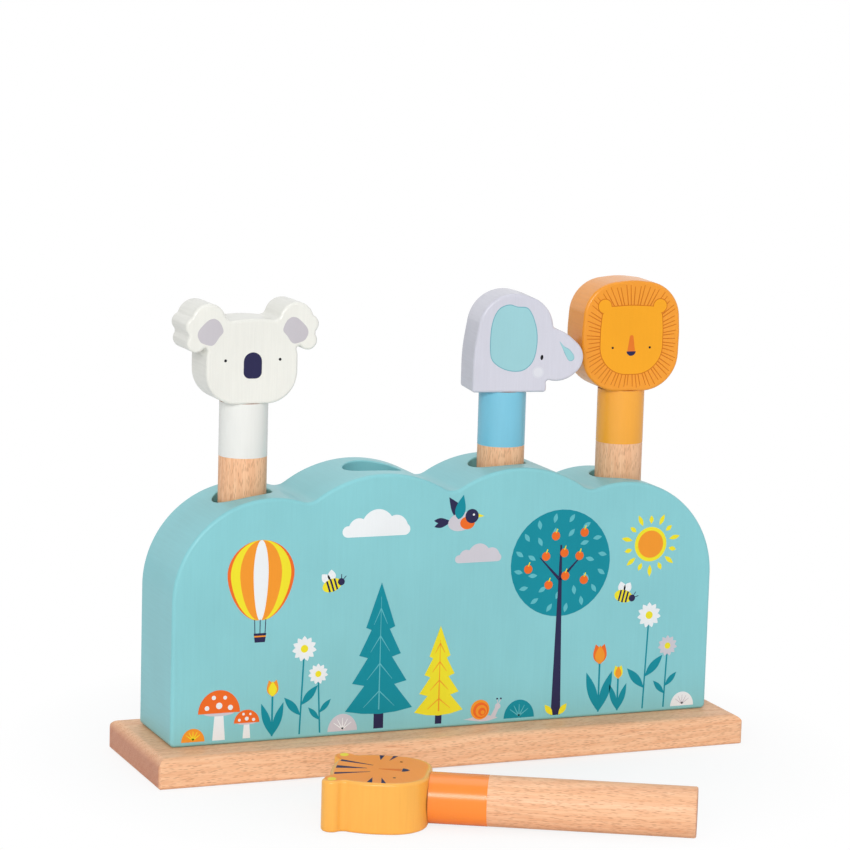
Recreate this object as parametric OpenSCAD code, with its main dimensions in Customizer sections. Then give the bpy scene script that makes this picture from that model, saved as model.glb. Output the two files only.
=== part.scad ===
// Pop-up animal toy: a beech base plate, a cloud-topped block with four sprung wells,
// and four round pegs that each carry an animal's head.
// Millimetres. X runs right, Y runs away from the viewer, Z runs up from the floor.
// The origin is the centre of the base plate's underside.

/* [Block] */
// Length of the block, end to end
block_l = 243; // [238:1:260]
// Depth of the block, front to back
block_d = 42.5; // [36:0.5:56]
// Radius of each outer lobe of the cloud outline
outer_lobe_r = 42; // [34:0.5:44]
// Height of the outer lobes' crests above the base plate
outer_crest_h = 101.5; // [92:0.5:112]
// Radius of each inner lobe of the cloud outline
inner_lobe_r = 51.5; // [46:0.5:56]
// Distance from the block's middle to each inner lobe's centre
inner_lobe_x = 30.5; // [28:0.5:34]
// Height of the inner lobes' crests above the base plate
inner_crest_h = 109.5; // [104:0.5:124]
// Radius that blends the valleys between the lobes
valley_r = 7.5; // [5:0.5:16]
// Radius of the block's rounded front and back edges
block_edge_r = 1.5; // [1:0.25:1.75]
// Radius of the block's bottom corners
block_corner_r = 2; // [2:0.25:8]

/* [Base plate] */
// Thickness of the base plate
base_h = 12.5; // [11:0.5:18]
// Ledge of the base plate beyond each end of the block
ledge_end = 10; // [6:0.5:20]
// Ledge of the base plate in front of the block
ledge_front = 16.5; // [8:0.5:25]
// Ledge of the base plate behind the block
ledge_back = 10.5; // [6:0.5:25]
// Radius of the base plate's corners, seen from above
base_corner_r = 1.5; // [0.5:0.25:5]
// Radius of the base plate's rounded top edges
base_top_r = 4; // [2:0.5:5.5]
// Radius of the base plate's softened bottom edges
base_edge_r = 1.5; // [0.5:0.25:2.5]

/* [Wells] */
// Spacing of the four wells
well_pitch = 57; // [56.5:0.5:58]
// Bore of each well
well_d = 24.5; // [23.5:0.5:28]

/* [Springs] */
// Outside diameter of each spring
spring_od = 20; // [17:0.5:20.5]
// Diameter of the spring wire
spring_wire = 1.25; // [0.8:0.05:1.5]
// Free length of each spring
spring_l = 34; // [28:1:45]
// Extra length of the elephant's spring
elephant_spring_extra = 1.2; // [0:0.1:1.5]
// Turns in each spring
spring_turns = 7; // [5:1:8]

/* [Pegs] */
// Diameter of each dowel
dowel_d = 20; // [16:0.5:21]
// Length of each dowel
dowel_l = 104; // [95:1:130]
// Softened edge at each end of a dowel
dowel_soft = 0.8; // [0.3:0.1:1.5]
// Thickness of each head, front to back
head_t = 20.5; // [16:0.5:26]
// Radius of the heads' rounded edges
head_edge_r = 1.25; // [1:0.25:3]
// Diameter of the pin that joins a head to its dowel
pin_d = 8; // [5:0.5:10]
// Length of the pin inside the dowel
pin_in_dowel = 14; // [8:1:25]
// Length of the pin inside the head
pin_in_head = 14; // [8:1:18]

/* [Heads] */
// Width of the koala's face, without its ears
koala_face_w = 39.2; // [37:0.2:42]
// Height of the koala's face, without its ears
koala_face_h = 35; // [32:0.2:36]
// Radius of the large lobe of each koala ear
koala_ear_r = 7.4; // [6.6:0.1:8]
// Reach of the elephant's trunk from the peg's axis
elephant_trunk_reach = 32.2; // [30:0.2:32.8]
// Height of the elephant's head
elephant_h = 41.8; // [40.6:0.2:46]
// Width of the lion's mane
lion_w = 44; // [42:0.2:44.4]
// Height of the lion's mane
lion_h = 47.5; // [43:0.5:54]
// Width of the tiger's head, without its ears
tiger_w = 43; // [38:0.5:50]
// Height of the tiger's head, without its ears
tiger_h = 39; // [38:0.5:46]
// Radius of each tiger ear
tiger_ear_r = 4; // [3.5:0.25:5]

/* [Pose] */
// Turn of the koala's face towards the left end, in degrees
koala_turn = 0; // [0:0.5:10]
// Turn of the elephant's face towards the left end, in degrees
elephant_turn = 8; // [4:0.5:8]
// Turn of the lion's face towards the left end, in degrees
lion_turn = 5; // [4:0.5:8]
// Distance at which the elephant's peg stands to the right of its well's middle
elephant_side = 1.5; // [0:0.25:1.75]
// Place of the lying tiger's neck along X
tiger_neck_x = -44; // [-60:1:20]
// Place of the lying tiger's neck along Y
tiger_neck_y = -108; // [-150:1:-100]
// Direction in which the lying tiger's head points, in degrees from +X
tiger_heading = 151.6; // [140:0.2:180]

/* [Fasteners] */
// Shank diameter of the countersunk screws that hold the block down
screw_d = 3.5; // [3:0.1:5]
// Length of the screws
screw_l = 32; // [22:1:45]
// Head diameter of the screws
screw_head_d = 7; // [6:0.1:9]
// Depth of the screw heads below the underside
screw_recess = 0.5; // [0.2:0.1:1.5]
// Wire diameter of the staples that hold the springs down
staple_wire = 1; // [0.8:0.1:1.2]
// Length of the staples' legs inside the base plate
staple_leg = 6; // [4:0.5:8]

/* [Clearances] */
// Gap between a spring and what it bears on
spring_gap = 0.3; // [0.2:0.05:0.6]
// Gap between a staple and the wire that it holds
staple_gap = 0.2; // [0.1:0.05:0.4]
// Radial gap round a pin in its bores
pin_gap = 0.05; // [0.02:0.01:0.1]
// Gap beyond each end of a pin
pin_end_gap = 0.5; // [0.3:0.1:1.5]
// Gap beyond the point of a screw
screw_end_gap = 1; // [0.5:0.25:3]
// Radial gap round a screw or a staple in its hole
fastener_gap = 0.1; // [0.05:0.05:0.3]

/* [Hidden] */

// Facets of bores and rods, and steps of a rounded edge from face to side
bore_fn = 64;
EDGE_STEPS = 2;
// Overlap that keeps a cut clear of the face it starts from
eps = 1;

base_l = block_l + 2 * ledge_end;
base_d = block_d + ledge_front + ledge_back;
block_y = (ledge_front - ledge_back) / 2;

// Wells, numbered 0 to 3 from the left
KOALA_WELL = 0;
TIGER_WELL = 1;
ELEPHANT_WELL = 2;
LION_WELL = 3;
WELLS = [KOALA_WELL, TIGER_WELL, ELEPHANT_WELL, LION_WELL];
function well_x(i) = (i - (len(WELLS) - 1) / 2) * well_pitch;

// Each spring's length, and the heights of its foot and of the dowel that stands on it
function spring_length(i) = spring_l + (i == ELEPHANT_WELL ? elephant_spring_extra : 0);
spring_z = base_h + spring_gap;
function peg_z(i) = spring_z + spring_length(i) + spring_gap;

// Screws stand in the webs between the outer wells and beyond them
web_x = well_pitch;
end_x = (well_x(LION_WELL) + well_d / 2 + block_l / 2) / 2;
SCREW_X = [-end_x, -web_x, web_x, end_x];
screw_cone_h = (screw_head_d - screw_d) / 2;
screw_point_h = 4;

// Staples stand across the first, flat coil at these angles round the spring
STAPLE_ANGLES = [90, 225];
spring_r = (spring_od - spring_wire) / 2;
staple_half_span = spring_wire / 2 + 2 * staple_gap + staple_wire / 2;
staple_crown_z = spring_z + spring_wire + staple_gap + staple_wire / 2;

// Spring: rings per turn, sides of the wire, and the flat share of each end turn
COIL_RINGS = 8;
WIRE_SIDES = 6;
flat_turn = 0.65;
function coil_rise(t, l) = min(max(t - flat_turn, 0), spring_turns - 2 * flat_turn)
    / (spring_turns - 2 * flat_turn) * (l - spring_wire);
function coil_point(t, l) =
    [spring_r * cos(360 * t), spring_r * sin(360 * t), spring_wire / 2 + coil_rise(t, l)];
COIL_TIMES = [for (k = [0:spring_turns * COIL_RINGS]) k / COIL_RINGS];
function coil(l) = [for (t = COIL_TIMES) coil_point(t, l)];
// Least gap between the wire of one turn and the next
coil_gap = let (c = coil(spring_l)) min([for (i = [0:len(c) - 1])
    for (j = [i + COIL_RINGS - 2:1:len(c) - 1]) norm(c[j] - c[i])]) - spring_wire;
echo(coil_gap = coil_gap);

// ---- Outlines: round corners listed anticlockwise as [x, y, r, v] ----
// A corner runs to the next along their common tangent if its v is 0, and otherwise into a hollow
// of radius v. The curves become points with their outward normals, [[x, y], [nx, ny]].

function place(c) = [c[0], c[1]];
function polar(r, a) = [r * cos(a), r * sin(a)];
function heading(p) = atan2(p[1], p[0]);
function wrap(a) = a - 360 * floor(a / 360);

// Centre of the hollow between corner a and the next, b
function hollow(a, b) =
    let (d = place(b) - place(a), ra = a[2] + a[3], rb = b[2] + a[3],
        open = acos((ra * ra + d * d - rb * rb) / (2 * ra * norm(d))))
    place(a) + polar(ra, heading(d) - open);

// Directions in which the outline leaves corner a, and reaches the next, b
function leaves(a, b) = a[3] == 0 ? tangent(a, b) : heading(hollow(a, b) - place(a));
function reaches(a, b) = a[3] == 0 ? tangent(a, b) : heading(hollow(a, b) - place(b));
function tangent(a, b) = let (d = place(b) - place(a)) heading(d) - acos((a[2] - b[2]) / norm(d));

// Points along a corner of radius r, and along the hollow that follows it
function arc_step(r) = r > 20 ? 5 : r > 5 ? 15 : 20;
function bend(c, r, from, turn) = let (n = max(1, ceil(turn / arc_step(r))))
    [for (k = [0:n]) let (a = from + turn * k / n) [c + polar(r, a), polar(1, a)]];
function dip(c, r, from, turn) = let (n = max(2, ceil(turn / arc_step(r))))
    [for (k = [1:n - 1]) let (a = from - turn * k / n) [c + polar(r, a), polar(-1, a)]];
function outline(corners) = [for (i = [0:len(corners) - 1])
    let (last = corners[(i + len(corners) - 1) % len(corners)], here = corners[i],
        next = corners[(i + 1) % len(corners)],
        from = reaches(last, here), turn = wrap(leaves(here, next) - from))
    each concat(bend(place(here), here[2], from, turn), here[3] == 0 ? [] :
        let (f = hollow(here, next), a = heading(place(here) - f))
        dip(f, here[3], a, wrap(a - heading(place(next) - f))))];

// A flat slab with rounded edges, standing on Z = 0
module soft_slab(corners, thick, edge_r) {
    rim = outline(corners);
    n = len(rim);
    rise = [for (k = [-EDGE_STEPS:0]) [k, 0], for (k = [0:EDGE_STEPS]) [k, thick - 2 * edge_r]];
    points = [for (e = rise) let (a = 90 * e[0] / EDGE_STEPS) each [for (p = rim)
        let (q = p[0] - p[1] * edge_r * (1 - cos(a))) [q[0], q[1], edge_r + edge_r * sin(a) + e[1]]]];
    last = (len(rise) - 1) * n;
    wall = [for (k = [0:len(rise) - 2], i = [0:n - 1])
        let (a = k * n + i, b = k * n + (i + 1) % n) each [[a, a + n, b + n], [a, b + n, b]]];
    polyhedron(points, concat([[for (i = [0:n - 1]) i]], wall, [[for (i = [n - 1:-1:0]) last + i]]));
}

// Stands a slab upright with its outline in the X-Z plane, centred front to back
module upright(thick) {
    translate([0, thick / 2, 0]) rotate([90, 0, 0]) children();
}

// The corners of the left half, mirrored from the right half's corners, in the outline's order
function mirrored(right) = [for (i = [len(right) - 1:-1:0])
    [-right[i][0], right[i][1], right[i][2], i == 0 ? 0 : right[i - 1][3]]];

// ---- Base plate ----

// Bar section: w wide and base_h high, standing on Y = 0, rounder above than below
module plate_section(w) {
    translate([base_edge_r - w / 2, 0]) square([w - 2 * base_edge_r, base_h - base_top_r]);
    translate([base_top_r - w / 2, 0]) square([w - 2 * base_top_r, base_h]);
    translate([-w / 2, base_edge_r]) square([w, base_h - base_edge_r - base_top_r]);
    for (x = [-1, 1]) {
        translate([x * (w / 2 - base_edge_r), base_edge_r]) circle(base_edge_r, $fn = bore_fn);
        translate([x * (w / 2 - base_top_r), base_h - base_top_r]) circle(base_top_r, $fn = bore_fn);
    }
}

// The plate seen from above
module plate_plan() {
    run_l = base_l - 2 * base_corner_r;
    run_d = base_d - 2 * base_corner_r;
    square([base_l, run_d], center = true);
    square([run_l, base_d], center = true);
    for (x = [-1, 1], y = [-1, 1])
        translate([x * run_l / 2, y * run_d / 2]) circle(base_corner_r, $fn = bore_fn);
}

// The rounded edges meet in a mitre at the corners
module plate_blank() {
    intersection() {
        translate([-base_l / 2, 0, 0]) rotate([90, 0, 90]) linear_extrude(base_l) plate_section(base_d);
        translate([0, base_d / 2, 0]) rotate([90, 0, 0]) linear_extrude(base_d) plate_section(base_l);
        linear_extrude(base_h) plate_plan();
    }
}

module screw_places() {
    for (x = SCREW_X) translate([x, block_y, 0]) children();
}

module staple_places() {
    for (i = WELLS, a = STAPLE_ANGLES)
        translate([well_x(i), block_y, 0]) rotate([0, 0, a]) translate([spring_r, 0, 0]) children();
}

module base_plate() {
    color("burlywood") difference() {
        plate_blank();
        screw_places() screw_seat();
        staple_places()
            for (s = [-1, 1])
                translate([s * staple_half_span, 0, base_h - staple_leg - fastener_gap])
                    cylinder(h = staple_leg + eps, r = staple_wire / 2 + fastener_gap, $fn = bore_fn);
    }
}

// Clearance hole and countersink for one screw
module screw_seat() {
    head_r = screw_head_d / 2 + fastener_gap;
    translate([0, 0, -eps]) cylinder(h = base_h + 2 * eps, r = screw_d / 2 + fastener_gap, $fn = bore_fn);
    translate([0, 0, -eps]) cylinder(h = screw_recess + eps, r = head_r, $fn = bore_fn);
    translate([0, 0, screw_recess])
        cylinder(h = screw_cone_h + fastener_gap, r1 = head_r, r2 = screw_d / 2, $fn = bore_fn);
}

// ---- Block ----

// Right half of the cloud outline, from its bottom corner up; each lobe meets the next in a valley
CLOUD_RIGHT = [
    [block_l / 2 - block_corner_r, block_corner_r, block_corner_r, 0],
    [block_l / 2 - outer_lobe_r, outer_crest_h - outer_lobe_r, outer_lobe_r, valley_r],
    [inner_lobe_x, inner_crest_h - inner_lobe_r, inner_lobe_r, valley_r]];
CLOUD = concat(CLOUD_RIGHT, mirrored(CLOUD_RIGHT));

module block() {
    color("mediumturquoise") difference() {
        translate([0, block_y, base_h])
            upright(block_d) soft_slab(CLOUD, block_d, block_edge_r);
        for (i = WELLS)
            translate([well_x(i), block_y, base_h - eps])
                cylinder(h = inner_crest_h + 2 * eps, r = well_d / 2, $fn = bore_fn);
        screw_places()
            translate([0, 0, base_h - eps])
                cylinder(h = screw_recess + screw_l - base_h + eps + screw_end_gap,
                    r = screw_d / 2 + fastener_gap, $fn = bore_fn);
    }
}

// ---- Fasteners under the block ----

module base_screws() {
    color("silver") screw_places() translate([0, 0, screw_recess]) screw();
}

// Countersunk wood screw with a cross recess, its head on Z = 0
module screw() {
    slot_l = 0.6 * screw_head_d;
    slot_w = 0.15 * screw_head_d;
    slot_depth = 0.8 * screw_cone_h;
    difference() {
        union() {
            cylinder(h = screw_cone_h, r1 = screw_head_d / 2, r2 = screw_d / 2, $fn = bore_fn);
            cylinder(h = screw_l - screw_point_h, r = screw_d / 2, $fn = bore_fn);
            translate([0, 0, screw_l - screw_point_h])
                cylinder(h = screw_point_h, r1 = screw_d / 2, r2 = screw_d / 10, $fn = bore_fn);
        }
        for (a = [0, 90])
            rotate([0, 0, a])
                translate([-slot_l / 2, -slot_w / 2, -eps]) cube([slot_l, slot_w, slot_depth + eps]);
    }
}

module spring_staples() {
    color("dimgray") staple_places() staple();
}

// U-shaped staple across the spring's foot coil
module staple() {
    leg_top = staple_crown_z;
    leg_h = leg_top - base_h + staple_leg;
    translate([0, 0, leg_top]) rotate([0, 90, 0])
        cylinder(h = 2 * staple_half_span, r = staple_wire / 2, center = true, $fn = bore_fn);
    for (s = [-1, 1])
        translate([s * staple_half_span, 0, leg_top - leg_h]) {
            cylinder(h = leg_h, r = staple_wire / 2, $fn = bore_fn);
            translate([0, 0, leg_h]) sphere(staple_wire / 2, $fn = bore_fn);
        }
}

// ---- Springs ----

// One unbroken wire of length l from end to end, its foot on Z = 0
module coil_spring(l) {
    c = coil(l);
    last = len(c) - 1;
    function along(k) = c[min(k + 1, last)] - c[max(k - 1, 0)];
    function ring(k) =
        let (t = along(k), side = [cos(360 * COIL_TIMES[k]), sin(360 * COIL_TIMES[k]), 0],
            up = cross(t, side) / norm(cross(t, side)))
        [for (j = [0:WIRE_SIDES - 1])
            c[k] + spring_wire / 2 * (cos(360 * j / WIRE_SIDES) * side - sin(360 * j / WIRE_SIDES) * up)];
    points = [for (k = [0:last]) each ring(k)];
    foot = [for (j = [0:WIRE_SIDES - 1]) j];
    tip = [for (j = [WIRE_SIDES - 1:-1:0]) last * WIRE_SIDES + j];
    wall = [for (k = [0:last - 1], j = [0:WIRE_SIDES - 1])
        let (a = k * WIRE_SIDES + j, b = k * WIRE_SIDES + (j + 1) % WIRE_SIDES)
        each [[a, a + WIRE_SIDES, b + WIRE_SIDES], [a, b + WIRE_SIDES, b]]];
    polyhedron(points, concat([foot, tip], wall));
}

module well_spring(i) {
    color("lightsteelblue") translate([well_x(i), block_y, spring_z]) coil_spring(spring_length(i));
}
module koala_spring() { well_spring(KOALA_WELL); }
module tiger_spring() { well_spring(TIGER_WELL); }
module elephant_spring() { well_spring(ELEPHANT_WELL); }
module lion_spring() { well_spring(LION_WELL); }

// ---- Pegs: each is drawn upright, its dowel's foot at the origin and its face towards -Y ----

module standing(i, turn, side = 0) {
    translate([well_x(i) + side, block_y, peg_z(i)]) rotate([0, 0, -turn]) children();
}

// The tiger lies on its back on the floor, with its face up
module lying() {
    translate([tiger_neck_x, tiger_neck_y, head_t / 2])
        rotate([0, 0, tiger_heading - 90]) rotate([-90, 0, 0]) translate([0, 0, -dowel_l]) children();
}

module dowel() {
    difference() {
        union() {
            cylinder(h = dowel_soft, r1 = dowel_d / 2 - dowel_soft, r2 = dowel_d / 2, $fn = bore_fn);
            translate([0, 0, dowel_soft])
                cylinder(h = dowel_l - dowel_soft, r = dowel_d / 2, $fn = bore_fn);
        }
        pin_bore();
    }
}

module pin_bore() {
    translate([0, 0, dowel_l - pin_in_dowel - pin_end_gap])
        cylinder(h = pin_in_dowel + pin_in_head + 2 * pin_end_gap, r = pin_d / 2 + pin_gap, $fn = bore_fn);
}

module pin() {
    translate([0, 0, dowel_l - pin_in_dowel])
        cylinder(h = pin_in_dowel + pin_in_head, r = pin_d / 2, $fn = bore_fn);
}

// A head cut from thick board, its flat neck on the dowel
module head(corners) {
    difference() {
        translate([0, 0, dowel_l]) upright(head_t) soft_slab(corners, head_t, head_edge_r);
        pin_bore();
    }
}

// Each head's corners, in the X-Z plane of its face, from the neck up the right side.
// A flat-looking brow is an arc of a large circle.
brow_r = 60;
brow_hollow_r = 3;
ear_hollow_r = 1.2;

// Koala: round jaws and cheeks, and ears of two small lobes under a large one
koala_jaw_r = 13;
koala_cheek_r = 8;
koala_cheek_drop = 16;
koala_lobe_r = 3.9;
koala_low_lobe_out = 4.4;
koala_low_lobe_drop = 9.4;
koala_high_lobe_out = 5;
koala_high_lobe_drop = 2.7;
koala_lobe_hollow_r = 2;
koala_ear_in = 0.8;
koala_ear_drop = 0.9;
koala_cheek_x = koala_face_w / 2;
KOALA_RIGHT = [
    [koala_cheek_x - koala_jaw_r, koala_jaw_r, koala_jaw_r, 0],
    [koala_cheek_x - koala_cheek_r, koala_face_h - koala_cheek_drop, koala_cheek_r, ear_hollow_r],
    [koala_cheek_x + koala_low_lobe_out, koala_face_h - koala_low_lobe_drop, koala_lobe_r,
        koala_lobe_hollow_r],
    [koala_cheek_x + koala_high_lobe_out, koala_face_h - koala_high_lobe_drop, koala_lobe_r, ear_hollow_r],
    [koala_cheek_x - koala_ear_in, koala_face_h - koala_ear_drop, koala_ear_r, brow_hollow_r]];
KOALA = concat(KOALA_RIGHT, [[0, koala_face_h - brow_r, brow_r, brow_hollow_r]], mirrored(KOALA_RIGHT));

// Elephant: a square neck, a jaw that runs into the trunk's round tip, a domed crown and a bowed nape
neck_corner_r = head_edge_r + 0.05;
elephant_throat_x = 16.3;
elephant_throat_h = 1.6;
elephant_jaw_in = 11.7;
elephant_jaw_r = 12;
elephant_jaw_z = 4.6;
trunk_tip_r = 8.3;
trunk_tip_z = 14.6;
trunk_root_in = 16;
trunk_root_z = 11.1;
trunk_root_r = 16;
trunk_hollow_r = 2.3;
elephant_brow_x = 4.8;
elephant_brow_r = 13.8;
elephant_brow_drop = 1;
elephant_crown_x = 1.3;
elephant_crown_r = 15.3;
elephant_nape_x = 15.9;
elephant_nape_z = 10;
elephant_nape_r = 75;
ELEPHANT = [
    [elephant_throat_x - neck_corner_r, neck_corner_r, neck_corner_r, 0],
    [elephant_throat_x - neck_corner_r, neck_corner_r + elephant_throat_h, neck_corner_r, ear_hollow_r],
    [elephant_trunk_reach - elephant_jaw_in, elephant_jaw_z + elephant_jaw_r, elephant_jaw_r, 0],
    [elephant_trunk_reach - trunk_tip_r, trunk_tip_z, trunk_tip_r, 0],
    [elephant_trunk_reach - trunk_root_in, trunk_root_z, trunk_root_r, trunk_hollow_r],
    [elephant_brow_x, elephant_h - elephant_brow_drop - elephant_brow_r, elephant_brow_r, 0],
    [elephant_crown_x, elephant_h - elephant_crown_r, elephant_crown_r, 0],
    [elephant_nape_r - elephant_nape_x, elephant_nape_z, elephant_nape_r, 0],
    [neck_corner_r - elephant_nape_x, neck_corner_r, neck_corner_r, 0]];

// Lion: a rounded square mane with bowed sides
lion_jaw_r = 16.2;
lion_side_r = 36;
lion_side_drop = 23;
lion_crown_r = 15.4;
lion_corner_in = 0.2;
lion_crown_drop = 0.6;
LION_RIGHT = [
    [lion_w / 2 - lion_corner_in - lion_jaw_r, lion_jaw_r, lion_jaw_r, 0],
    [lion_w / 2 - lion_side_r, lion_h - lion_side_drop, lion_side_r, 0],
    [lion_w / 2 - 2 * lion_corner_in - lion_crown_r, lion_h - lion_crown_drop - lion_crown_r, lion_crown_r, 0]];
LION = concat(LION_RIGHT, [[0, lion_h - lion_side_r, lion_side_r, 0]], mirrored(LION_RIGHT));

// Tiger: bowed cheeks, and small round ears that stand a little above and beyond the brow's corners
tiger_jaw_r = 15;
tiger_jaw_in = 0.4;
tiger_cheek_r = 30;
tiger_cheek_drop = 19;
tiger_temple_r = 10;
tiger_temple_drop = 3;
tiger_temple_in = 0.8;
tiger_temple_hollow_r = 2.5;
tiger_ear_out = 0.7;
tiger_ear_rise = 1.3;
TIGER_RIGHT = [
    [tiger_w / 2 - tiger_jaw_in - tiger_jaw_r, tiger_jaw_r, tiger_jaw_r, 0],
    [tiger_w / 2 - tiger_cheek_r, tiger_h - tiger_cheek_drop, tiger_cheek_r, 0],
    [tiger_w / 2 - tiger_temple_in - tiger_temple_r, tiger_h - tiger_temple_drop - tiger_temple_r,
        tiger_temple_r, tiger_temple_hollow_r],
    [tiger_w / 2 + tiger_ear_out - tiger_ear_r, tiger_h + tiger_ear_rise - tiger_ear_r,
        tiger_ear_r, brow_hollow_r]];
TIGER = concat(TIGER_RIGHT, [[0, tiger_h - brow_r, brow_r, brow_hollow_r]], mirrored(TIGER_RIGHT));

module koala_dowel() { color("burlywood") standing(KOALA_WELL, koala_turn) dowel(); }
module koala_pin() { color("tan") standing(KOALA_WELL, koala_turn) pin(); }
module koala_head() { color("ivory") standing(KOALA_WELL, koala_turn) head(KOALA); }

module elephant_dowel() { color("burlywood") standing(ELEPHANT_WELL, elephant_turn, elephant_side) dowel(); }
module elephant_pin() { color("tan") standing(ELEPHANT_WELL, elephant_turn, elephant_side) pin(); }
module elephant_head() {
    color("lightgray") standing(ELEPHANT_WELL, elephant_turn, elephant_side) head(ELEPHANT);
}

module lion_dowel() { color("burlywood") standing(LION_WELL, lion_turn) dowel(); }
module lion_pin() { color("tan") standing(LION_WELL, lion_turn) pin(); }
module lion_head() { color("orange") standing(LION_WELL, lion_turn) head(LION); }

module tiger_dowel() { color("burlywood") lying() dowel(); }
module tiger_pin() { color("tan") lying() pin(); }
module tiger_head() { color("darkorange") lying() head(TIGER); }

base_plate();
block();
base_screws();
spring_staples();
koala_spring();
tiger_spring();
elephant_spring();
lion_spring();
koala_dowel();
koala_head();
koala_pin();
tiger_dowel();
tiger_head();
tiger_pin();
elephant_dowel();
elephant_head();
elephant_pin();
lion_dowel();
lion_head();
lion_pin();
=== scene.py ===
"""Looks of a pop-up animal toy: a beech base, a painted cloud block and four animal pegs.

The classes hold their sizes in millimetres, and the finished meshes are in metres. X runs
right, Y runs away from the viewer and Z runs up from the floor. A peg's own origin is where
its head meets its dowel, with the face towards its own -Y and the dowel down its own -Z.
"""

import logging
import math
from dataclasses import dataclass, field
from enum import Enum
from typing import ClassVar, Sequence

import bmesh
import bpy
from mathutils import Matrix, Quaternion, Vector


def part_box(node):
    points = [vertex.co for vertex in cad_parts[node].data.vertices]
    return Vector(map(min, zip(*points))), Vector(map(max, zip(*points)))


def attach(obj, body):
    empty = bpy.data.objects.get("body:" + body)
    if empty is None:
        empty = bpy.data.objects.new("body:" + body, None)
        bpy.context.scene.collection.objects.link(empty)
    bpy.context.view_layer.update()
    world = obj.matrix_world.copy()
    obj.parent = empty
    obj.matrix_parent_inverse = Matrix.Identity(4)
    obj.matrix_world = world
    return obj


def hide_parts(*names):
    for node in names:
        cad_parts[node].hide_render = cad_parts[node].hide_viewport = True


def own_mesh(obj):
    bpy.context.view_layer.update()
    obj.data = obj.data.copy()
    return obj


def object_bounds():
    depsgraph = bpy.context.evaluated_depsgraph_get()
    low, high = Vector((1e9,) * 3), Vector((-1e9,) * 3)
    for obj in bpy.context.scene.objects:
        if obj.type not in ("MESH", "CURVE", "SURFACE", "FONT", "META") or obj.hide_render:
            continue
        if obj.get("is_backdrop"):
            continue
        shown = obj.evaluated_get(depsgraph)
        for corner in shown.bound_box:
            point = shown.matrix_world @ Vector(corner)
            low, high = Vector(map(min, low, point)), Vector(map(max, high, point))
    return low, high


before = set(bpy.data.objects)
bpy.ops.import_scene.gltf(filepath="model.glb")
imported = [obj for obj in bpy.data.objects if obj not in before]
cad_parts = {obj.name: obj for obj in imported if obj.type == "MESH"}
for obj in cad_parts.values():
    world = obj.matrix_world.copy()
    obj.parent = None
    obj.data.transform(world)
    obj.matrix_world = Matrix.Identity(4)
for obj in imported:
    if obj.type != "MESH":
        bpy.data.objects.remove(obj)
CAD_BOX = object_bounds()

LOG = logging.getLogger("pop_up_toy")
MM = 0.001
CREASE = math.radians(32)
BODY = "toy_body"

Point = tuple[float, float]
Rim = Sequence[Point]
Spot = tuple[float, float, float]
Colour = tuple[float, float, float, float]
Mesh = bmesh.types.BMesh


# ---- Colours and shader nodes ----


def screen_colour(*channels: float) -> Colour:
    """Turns an 8-bit screen colour into a linear one.

    Args:
        channels: Red, green and blue, 0 to 255.

    Returns:
        Linear red, green and blue, and an alpha of 1.
    """
    shares = [value / 255 for value in channels]
    return (*(share / 12.92 if share <= 0.04045 else ((share + 0.055) / 1.055) ** 2.4
              for share in shares), 1.0)


def toned(colour: Colour, by: float, lift: float = 0.0) -> Colour:
    """Makes a colour darker or lighter, by a factor and a lift on each channel."""
    return (*(min(1.0, by * part + lift) for part in colour[:3]), 1.0)


class Wire:
    """A value that runs out of a node. Python's operators add the Math nodes."""

    def __init__(self, sheet: "NodeSheet", socket: bpy.types.NodeSocket) -> None:
        """Wraps a socket of a node sheet."""
        self.sheet = sheet
        self.socket = socket

    def maths(self, operation: str, *values: "Wire | float", clamp: bool = False) -> "Wire":
        """Adds a Math node.

        Args:
            operation: The node's operation.
            values: What goes into its sockets, in order.
            clamp: Whether the result is held between 0 and 1.

        Returns:
            The node's result.
        """
        settings = {"operation": operation, "use_clamp": clamp}
        return self.sheet.node("ShaderNodeMath", settings, dict(enumerate(values)))

    def __add__(self, other: "Wire | float") -> "Wire":
        """This value plus another."""
        return self.maths("ADD", self, other)

    __radd__ = __add__

    def __sub__(self, other: "Wire | float") -> "Wire":
        """This value less another."""
        return self.maths("SUBTRACT", self, other)

    def __rsub__(self, other: float) -> "Wire":
        """A number less this value."""
        return self.maths("SUBTRACT", other, self)

    def __mul__(self, other: "Wire | float") -> "Wire":
        """This value times another."""
        return self.maths("MULTIPLY", self, other)

    __rmul__ = __mul__

    def __gt__(self, other: float) -> "Wire":
        """1 where this value is above a number, and 0 elsewhere."""
        return self.maths("GREATER_THAN", self, other)

    def held(self) -> "Wire":
        """This value, held between 0 and 1."""
        return self.maths("ADD", self, 0.0, clamp=True)


class NodeSheet:
    """A node tree of a material or of the world, which starts empty."""

    def __init__(self, tree: bpy.types.NodeTree) -> None:
        """Clears the tree."""
        self.tree = tree
        self.tree.nodes.clear()

    def node(self, kind: str, settings: dict | None = None, inputs: dict | None = None,
             output: int | str = 0) -> Wire:
        """Adds a node.

        Args:
            kind: The node's type.
            settings: What is set on the node itself.
            inputs: The values or wires of its sockets, by name or number.
            output: The socket that the returned wire comes from.

        Returns:
            A wire from the node's output.
        """
        made = self.tree.nodes.new(kind)
        for name, value in (settings or {}).items():
            setattr(made, name, value)
        for name, value in (inputs or {}).items():
            if isinstance(value, Wire):
                self.tree.links.new(value.socket, made.inputs[name])
            else:
                made.inputs[name].default_value = value
        return Wire(self, made.outputs[output])

    def vectors(self, operation: str, *values: object, output: str = "Vector") -> Wire:
        """Adds a Vector Math node, with its values in order."""
        return self.node("ShaderNodeVectorMath", {"operation": operation}, dict(enumerate(values)), output)

    def end(self, kind: str, shader: Wire) -> None:
        """Links the last shader to the tree's output."""
        self.tree.links.new(shader.socket, self.tree.nodes.new(kind).inputs[0])


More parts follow.
